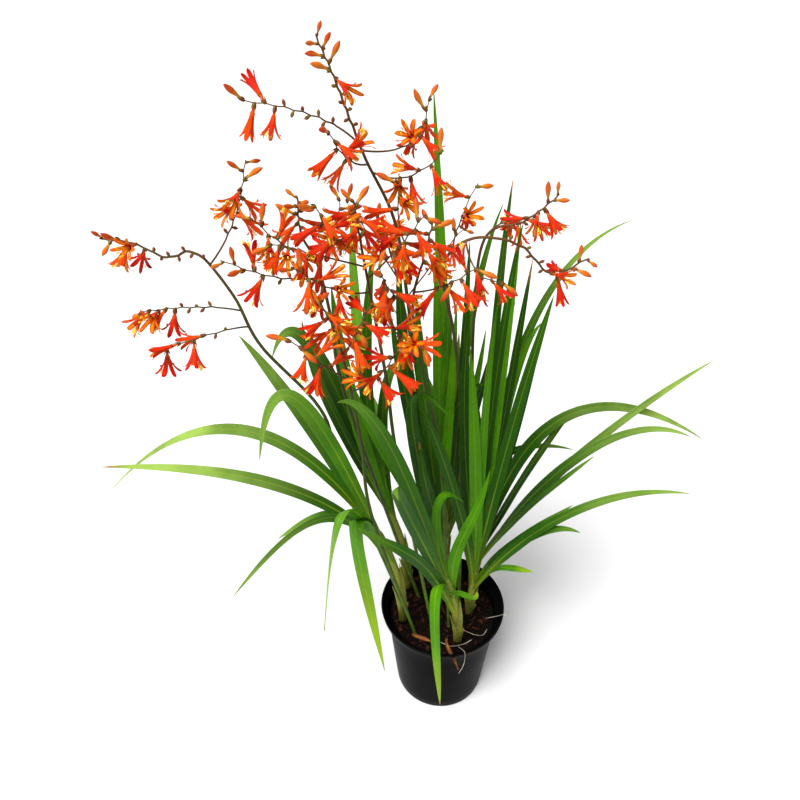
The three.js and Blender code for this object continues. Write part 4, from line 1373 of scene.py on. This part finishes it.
def eased_root(curve, gap):
    """The curve with its root moved by a gap that fades along it."""
    return lambda u: curve(u) + gap * (1 - u) ** 3


STEM_SKIN = stem_tree()
FLORETS = floret_tree(PARTS)
PART_INPUTS = {name: part for name, _, part, _ in PARTS}
PART_INPUTS.update({name + "_finish": finish for name, _, _, finish in PARTS})


def spray_ends(number, spray, node):
    """The stem of a spray and its branches: where the solid has each, where it is shown, and its sizes."""
    stem = through([(*spray["foot"], SOIL_TOP - ROOT_DEPTH), *spray["stem"]])
    seed = SPRAY_SEED * number
    ends = [(stem, stem, STEM_RINGS, spray["stem_end"], seed, STEM_STEPS, STEM_RADIUS, STEM_TIP_RADIUS)]
    for k, (start, bend, tip) in enumerate(spray["branches"]):
        root = stem_middle(stem, STEM_RINGS, start)
        places = [bezier([root, in_depth(bend, d), in_depth(tip, d)]) for d in DEPTH_STEPS]
        curve = node.taken(places, stem_corners)
        if curve:
            shown = eased_root(curve, stem(start) - root)
            own_seed = seed + BRANCH_SEED * (k + 1)
            sizes = (SPIKE_STEPS, SPIKE_RADIUS, SPIKE_TIP_RADIUS)
            ends.append((curve, shown, SPIKE_RINGS, SPIKE_START, own_seed, *sizes))
    return ends


def put_spray(number, name, spray):
    """Dresses one spray: its stems in one piece, and its flowers, buds and stubs in another."""
    node = NodeCorners(name)
    points, lines = [], []
    ends = zip(spray_ends(number, spray, node), spray["ends"])
    for (curve, shown, rings, start, seed, steps, first, last), counts in ends:
        found = []
        for floret in florets(curve, rings, start, counts, seed):
            place = node.taken(floret_places(floret), lambda p: floret_marks(floret, p))
            if place:
                found.append((floret, place))
        shown = zigzag(shown, [(floret["u"], floret["side"] * ZIGZAG) for floret, _ in found])
        points += [floret_point(floret, place, shown(floret["u"])) for floret, place in found]
        sizes = [FINE_STEM * (first + (last - first) * i / steps) for i in range(steps + 1)]
        lines.append([(shown(i / steps), size) for i, size in enumerate(sizes)])
    stems = STEM_SKIN.bake(name + "_stems", line_mesh(lines), Sides=8, Finish=STEM)
    heights = np.array([corner.co.z for corner in stems.vertices])
    store(stems, "along", (heights - heights.min()) / (heights.max() - heights.min()))
    put_in_scene(stems, name)
    put_in_scene(FLORETS.bake(name + "_flowers", floret_mesh(points), **PART_INPUTS), name)


for number, (name, spray) in enumerate(SPRAYS.items()):
    put_spray(number, name, spray)


# Pot.


def pot_profile():
    """Half the pot's section: floor, tapered wall, stepped shoulder and rolled lip, then down inside."""
    lip = POT_HEIGHT - LIP_HEIGHT
    slope = (BODY_TOP_RADIUS - BASE_RADIUS) / (lip - 8)
    wall_heights = (20, 60, 100, 140)
    foot = [(-3.5, 0), (-1.2, 0.4), (-0.2, 2)]
    shoulder = [(-0.2, -7), (0.3, -5.5), (0.8, -1), (2.0, 0.4)]
    lip_outside = [(-3.4, 1.2), (-2.0, 2.2), (-1.6, 4.5)]
    roll = [(-0.9, -3.2), (-0.5, -1.8), (-0.8, -0.6), (-1.8, 0), (-3.2, -0.3), (-4.3, -1.6)]
    return [
        (0, 0),
        *((BASE_RADIUS + out, z) for out, z in foot),
        *((BASE_RADIUS + slope * (z - 2), z) for z in wall_heights),
        *((BODY_TOP_RADIUS + out, lip + up) for out, up in shoulder),
        *((RIM_RADIUS + out, lip + up) for out, up in lip_outside),
        *((RIM_RADIUS + out, POT_HEIGHT + up) for out, up in roll),
        (RIM_RADIUS - 5.0, lip + 6),
        (BODY_TOP_RADIUS + 1.0, lip + 2),
        (BODY_TOP_RADIUS - WALL, lip - 1),
        *((BASE_RADIUS - WALL + slope * (z - FLOOR_THICKNESS), z) for z in reversed(wall_heights)),
        (BASE_RADIUS - WALL, FLOOR_THICKNESS),
        (0, FLOOR_THICKNESS),
    ]


def drain_cutters():
    """Upright rods where the pot's floor has its holes."""
    side, across, sides = np.array([1.0, 0.0, 0.0]), np.array([0.0, 1.0, 0.0]), 32
    wide = 2 * DRAIN_RADIUS
    for k in range(DRAIN_HOLES):
        at = DRAIN_CIRCLE * level(2 * math.pi * k / DRAIN_HOLES)
        rings = [ring(at + UP * z, side, across, wide, wide, sides) for z in (-5.0, 8.0)]
        skin = Skin()
        skin.add([corner for row in rings for corner in row], tube_faces(2, sides))
        yield link("drain_cutter", skin.mesh("drain_cutter"))


def pot_mesh():
    """The turned pot with its drain holes cut out."""
    body = link("pot_body", turned_skin(pot_profile(), POT_SIDES).mesh("pot_body"))
    cutters = list(drain_cutters())
    for cutter in cutters:
        cut = body.modifiers.new("drain_hole", "BOOLEAN")
        cut.operation, cut.solver, cut.object = "DIFFERENCE", "EXACT", cutter
    graph = bpy.context.evaluated_depsgraph_get()
    mesh = bpy.data.meshes.new_from_object(body.evaluated_get(graph), depsgraph=graph)
    for old in (body, *cutters):
        bpy.data.objects.remove(old)
    mesh.name = "pot_body"
    mesh.shade_smooth()
    mesh.materials.clear()
    mesh.materials.append(pot_finish())
    return mesh


put_in_scene(pot_mesh(), "pot")


# Soil and what lies on it.


def soil_inner(z):
    """The radius of the pot's inside at a height, less the gap to it."""
    slope = (BODY_TOP_RADIUS - BASE_RADIUS) / (POT_HEIGHT - LIP_HEIGHT)
    return BASE_RADIUS - WALL - FIT_GAP + slope * (z - FLOOR_THICKNESS)


SOIL_EDGE = soil_inner(SOIL_TOP) - 0.6


def soil_height(x, y):
    """The lumpy top of the soil, with crumbs on it."""
    share = math.hypot(x, y) / SOIL_EDGE
    lump = math.sin(0.21 * x + 1.3) * math.cos(0.27 * y - 0.4) + math.sin(0.5 * x - 0.37 * y)
    crumbs = noise.fractal(Vector((x, y, 0)) * 0.16, 1.0, 2.2, 5)
    calm = min(1, max(0, (1 - share) * 12))
    return SOIL_TOP + SOIL_MOUND * (1 - share) + calm * (0.7 * LUMP_HEIGHT * lump + 1.3 * crumbs)


def soil_mesh():
    """The filled soil. The part of its top that chips lie on is marked."""
    bottom = FLOOR_THICKNESS + FIT_GAP
    rings, sides = 60, 180
    top = [(SOIL_EDGE * (1 - k / rings), SOIL_TOP) for k in range(rings)]
    profile = [(0, bottom), (soil_inner(bottom) - 0.3, bottom), *top, (0, SOIL_TOP)]
    mesh = turned_skin(profile, sides).mesh("soil_mound", soil_finish())
    marks = []
    for corner in mesh.vertices:
        x, y, z = corner.co / MM
        on_top = z > SOIL_TOP - 1
        if on_top:
            corner.co.z = soil_height(x, y) * MM
        marks.append(1.0 if on_top and math.hypot(x, y) < SOIL_EDGE - 5 else 0.0)
    store(mesh, "top", marks)
    return mesh


def add_chip(skin, length, width, thick, seed):
    """A splinter of bark: a bent slab with broken ends."""
    corners = []
    for i in range(4):
        x = length * (i / 3 - 0.5)
        half = width * (0.25 + 0.3 * math.sin(math.pi * (i + 0.5) / 4)) * (0.7 + 0.6 * draw(seed + i))
        rise = 0.5 * thick * math.sin(2.5 * i / 3 + draw(seed)) + 0.2 * thick * draw(seed + 3 * i)
        top = rise + thick * (0.6 + 0.6 * draw(seed + 2 * i))
        corners += [(x, -half, rise), (x + 0.6 * draw(seed + i), half, rise)]
        corners += [(x, 0.8 * half, rise + thick), (x, -0.9 * half, top)]
    skin.add(corners, tube_faces(4, 4))


def dry_leaves():
    """Two withered leaves at the front: one that hangs over the lip and one that lies on the soil."""
    ways = (
        ([(5, -58, 171), (2, -78, 182), (8, -97, 196), (19, -104.5, 158)], 6.5),
        ([(-50, -46, 164), (-35, -58, 172), (-20, -64, 168), (-8, -70, 165)], 7),
    )
    skin, steps = Skin(), 20
    for number, (handles, width) in enumerate(ways):
        frames = carried_frames(bezier(handles), steps, np.array([1.0, 0.3, 0.0]))

        def place(i, v):
            u = i / steps
            at, t, side = frames[i]
            flat = turned(side, t, 0.8 * math.sin(4 * u + number))
            face = np.cross(t, flat)
            half = 0.5 * width * math.sin(math.pi * (0.08 + 0.9 * u)) ** 0.6 * (1 + 0.12 * math.sin(17 * u))
            return at + flat * (v * half) + face * (2.2 * abs(v) ** 1.5), face

        add_blade(skin, steps, 6, place, 0.4)
    return skin.mesh("dry_leaves", dry_leaf_finish())


def root_threads():
    """Fine roots on the soil, and one that hangs over the lip."""
    ways = [
        [(22, -70, 166), (26, -84, 180), (29, -96, 189), (29, -101.5, 180), (27, -101, 160), (22, -99, 140)],
        [(-5, -62, 166), (10, -70, 168), (30, -66, 167), (44, -58, 167)],
        [(30, -40, 168), (48, -52, 172), (62, -50, 168), (70, -38, 166)],
        [(70, -20, 170), (82, -26, 182), (96, -28, 190), (101, -26, 184)],
    ]
    steps = 30
    curves = [through(way) for way in ways]
    sizes = [0.27 + 0.1 * math.sin(9 * i / steps) for i in range(steps + 1)]
    lines = [[(curve(i / steps), size) for i, size in enumerate(sizes)] for curve in curves]
    return STEM_SKIN.bake("root_threads", line_mesh(lines), Sides=6, Finish=root_finish())


def soil_chips(soil):
    """Bark chips of three shapes, strewn over a copy of the soil's top."""
    shapes = {
        "Splinter": shape("chip_splinter", add_chip, 11, 3, 1.2, 3),
        "Flake": shape("chip_flake", add_chip, 7, 6, 1.0, 11),
        "Crumb": shape("chip_crumb", add_chip, 4, 3.4, 2.2, 19),
    }
    strewn = dict(Seed=5, Smallest=0.5, Largest=1.25, Density=9000.0)
    return chip_tree(shapes).bake("soil_chips", soil.copy(), **shapes, Finish=chip_finish(), **strewn)


soil = soil_mesh()
chips = soil_chips(soil)
put_in_scene(soil, "soil")
put_in_scene(chips, "soil")
put_in_scene(dry_leaves(), "soil")
put_in_scene(root_threads(), "soil")


# Floor, light and camera.


def add_floor():
    """A wide pale floor."""
    size = 40.0
    corners = [(-size, -size, 0), (size, -size, 0), (size, size, 0), (-size, size, 0)]
    mesh = bpy.data.meshes.new("floor")
    mesh.from_pydata(corners, [], [(0, 1, 2, 3)])
    material = bpy.data.materials.new("floor_white")
    material.use_nodes = True
    shader = material.node_tree.nodes["Principled BSDF"]
    shader.inputs["Base Color"].default_value = (0.7, 0.7, 0.7, 1)
    shader.inputs["Roughness"].default_value = 0.9
    shader.inputs["Specular IOR Level"].default_value = 0.0
    mesh.materials.append(material)
    link("floor", mesh)


def add_light(name, shines_along, strength, softness):
    """An even soft light that shines along a direction."""
    data = bpy.data.lights.new(name, "SUN")
    data.energy = strength
    data.angle = math.radians(softness)
    light = link(name, data)
    light.rotation_mode = "QUATERNION"
    light.rotation_quaternion = Vector(shines_along).to_track_quat("-Z", "Y")


def add_camera():
    """Stands at the watcher's place and looks down on the plant."""
    data = bpy.data.cameras.new("camera")
    data.lens = LENS
    camera = link("camera", data)
    camera.location = WATCHER * MM
    camera.rotation_euler = (math.radians(LOOK_DOWN), 0, 0)
    bpy.context.scene.camera = camera


def add_studio():
    """Faint even light from all round, in front of a white backdrop."""
    world = bpy.data.worlds.new("studio")
    world.use_nodes = True
    studio, made = Nodes(world.node_tree), world.node_tree.nodes
    faint, backdrop = made["Background"], studio.node("ShaderNodeBackground")
    for shade, strength in ((faint, 0.3), (backdrop, 1.0)):
        studio.feed(shade.inputs["Color"], (1, 1, 1))
        studio.feed(shade.inputs["Strength"], strength)
    seen = studio.node("ShaderNodeLightPath").outputs["Is Camera Ray"]
    choice = studio.node("ShaderNodeMixShader", {"Fac": seen, 1: faint.outputs[0], 2: backdrop.outputs[0]})
    studio.feed(made["World Output"].inputs["Surface"], choice.outputs[0])
    bpy.context.scene.world = world


add_floor()
add_light("key_light", (0.6, 0.8, -1.9), 5.0, 30)
add_light("back_light", (-0.6, -1.0, -1.1), 0.4, 40)
add_studio()
bpy.context.scene.view_settings.view_transform = "Standard"
add_camera()
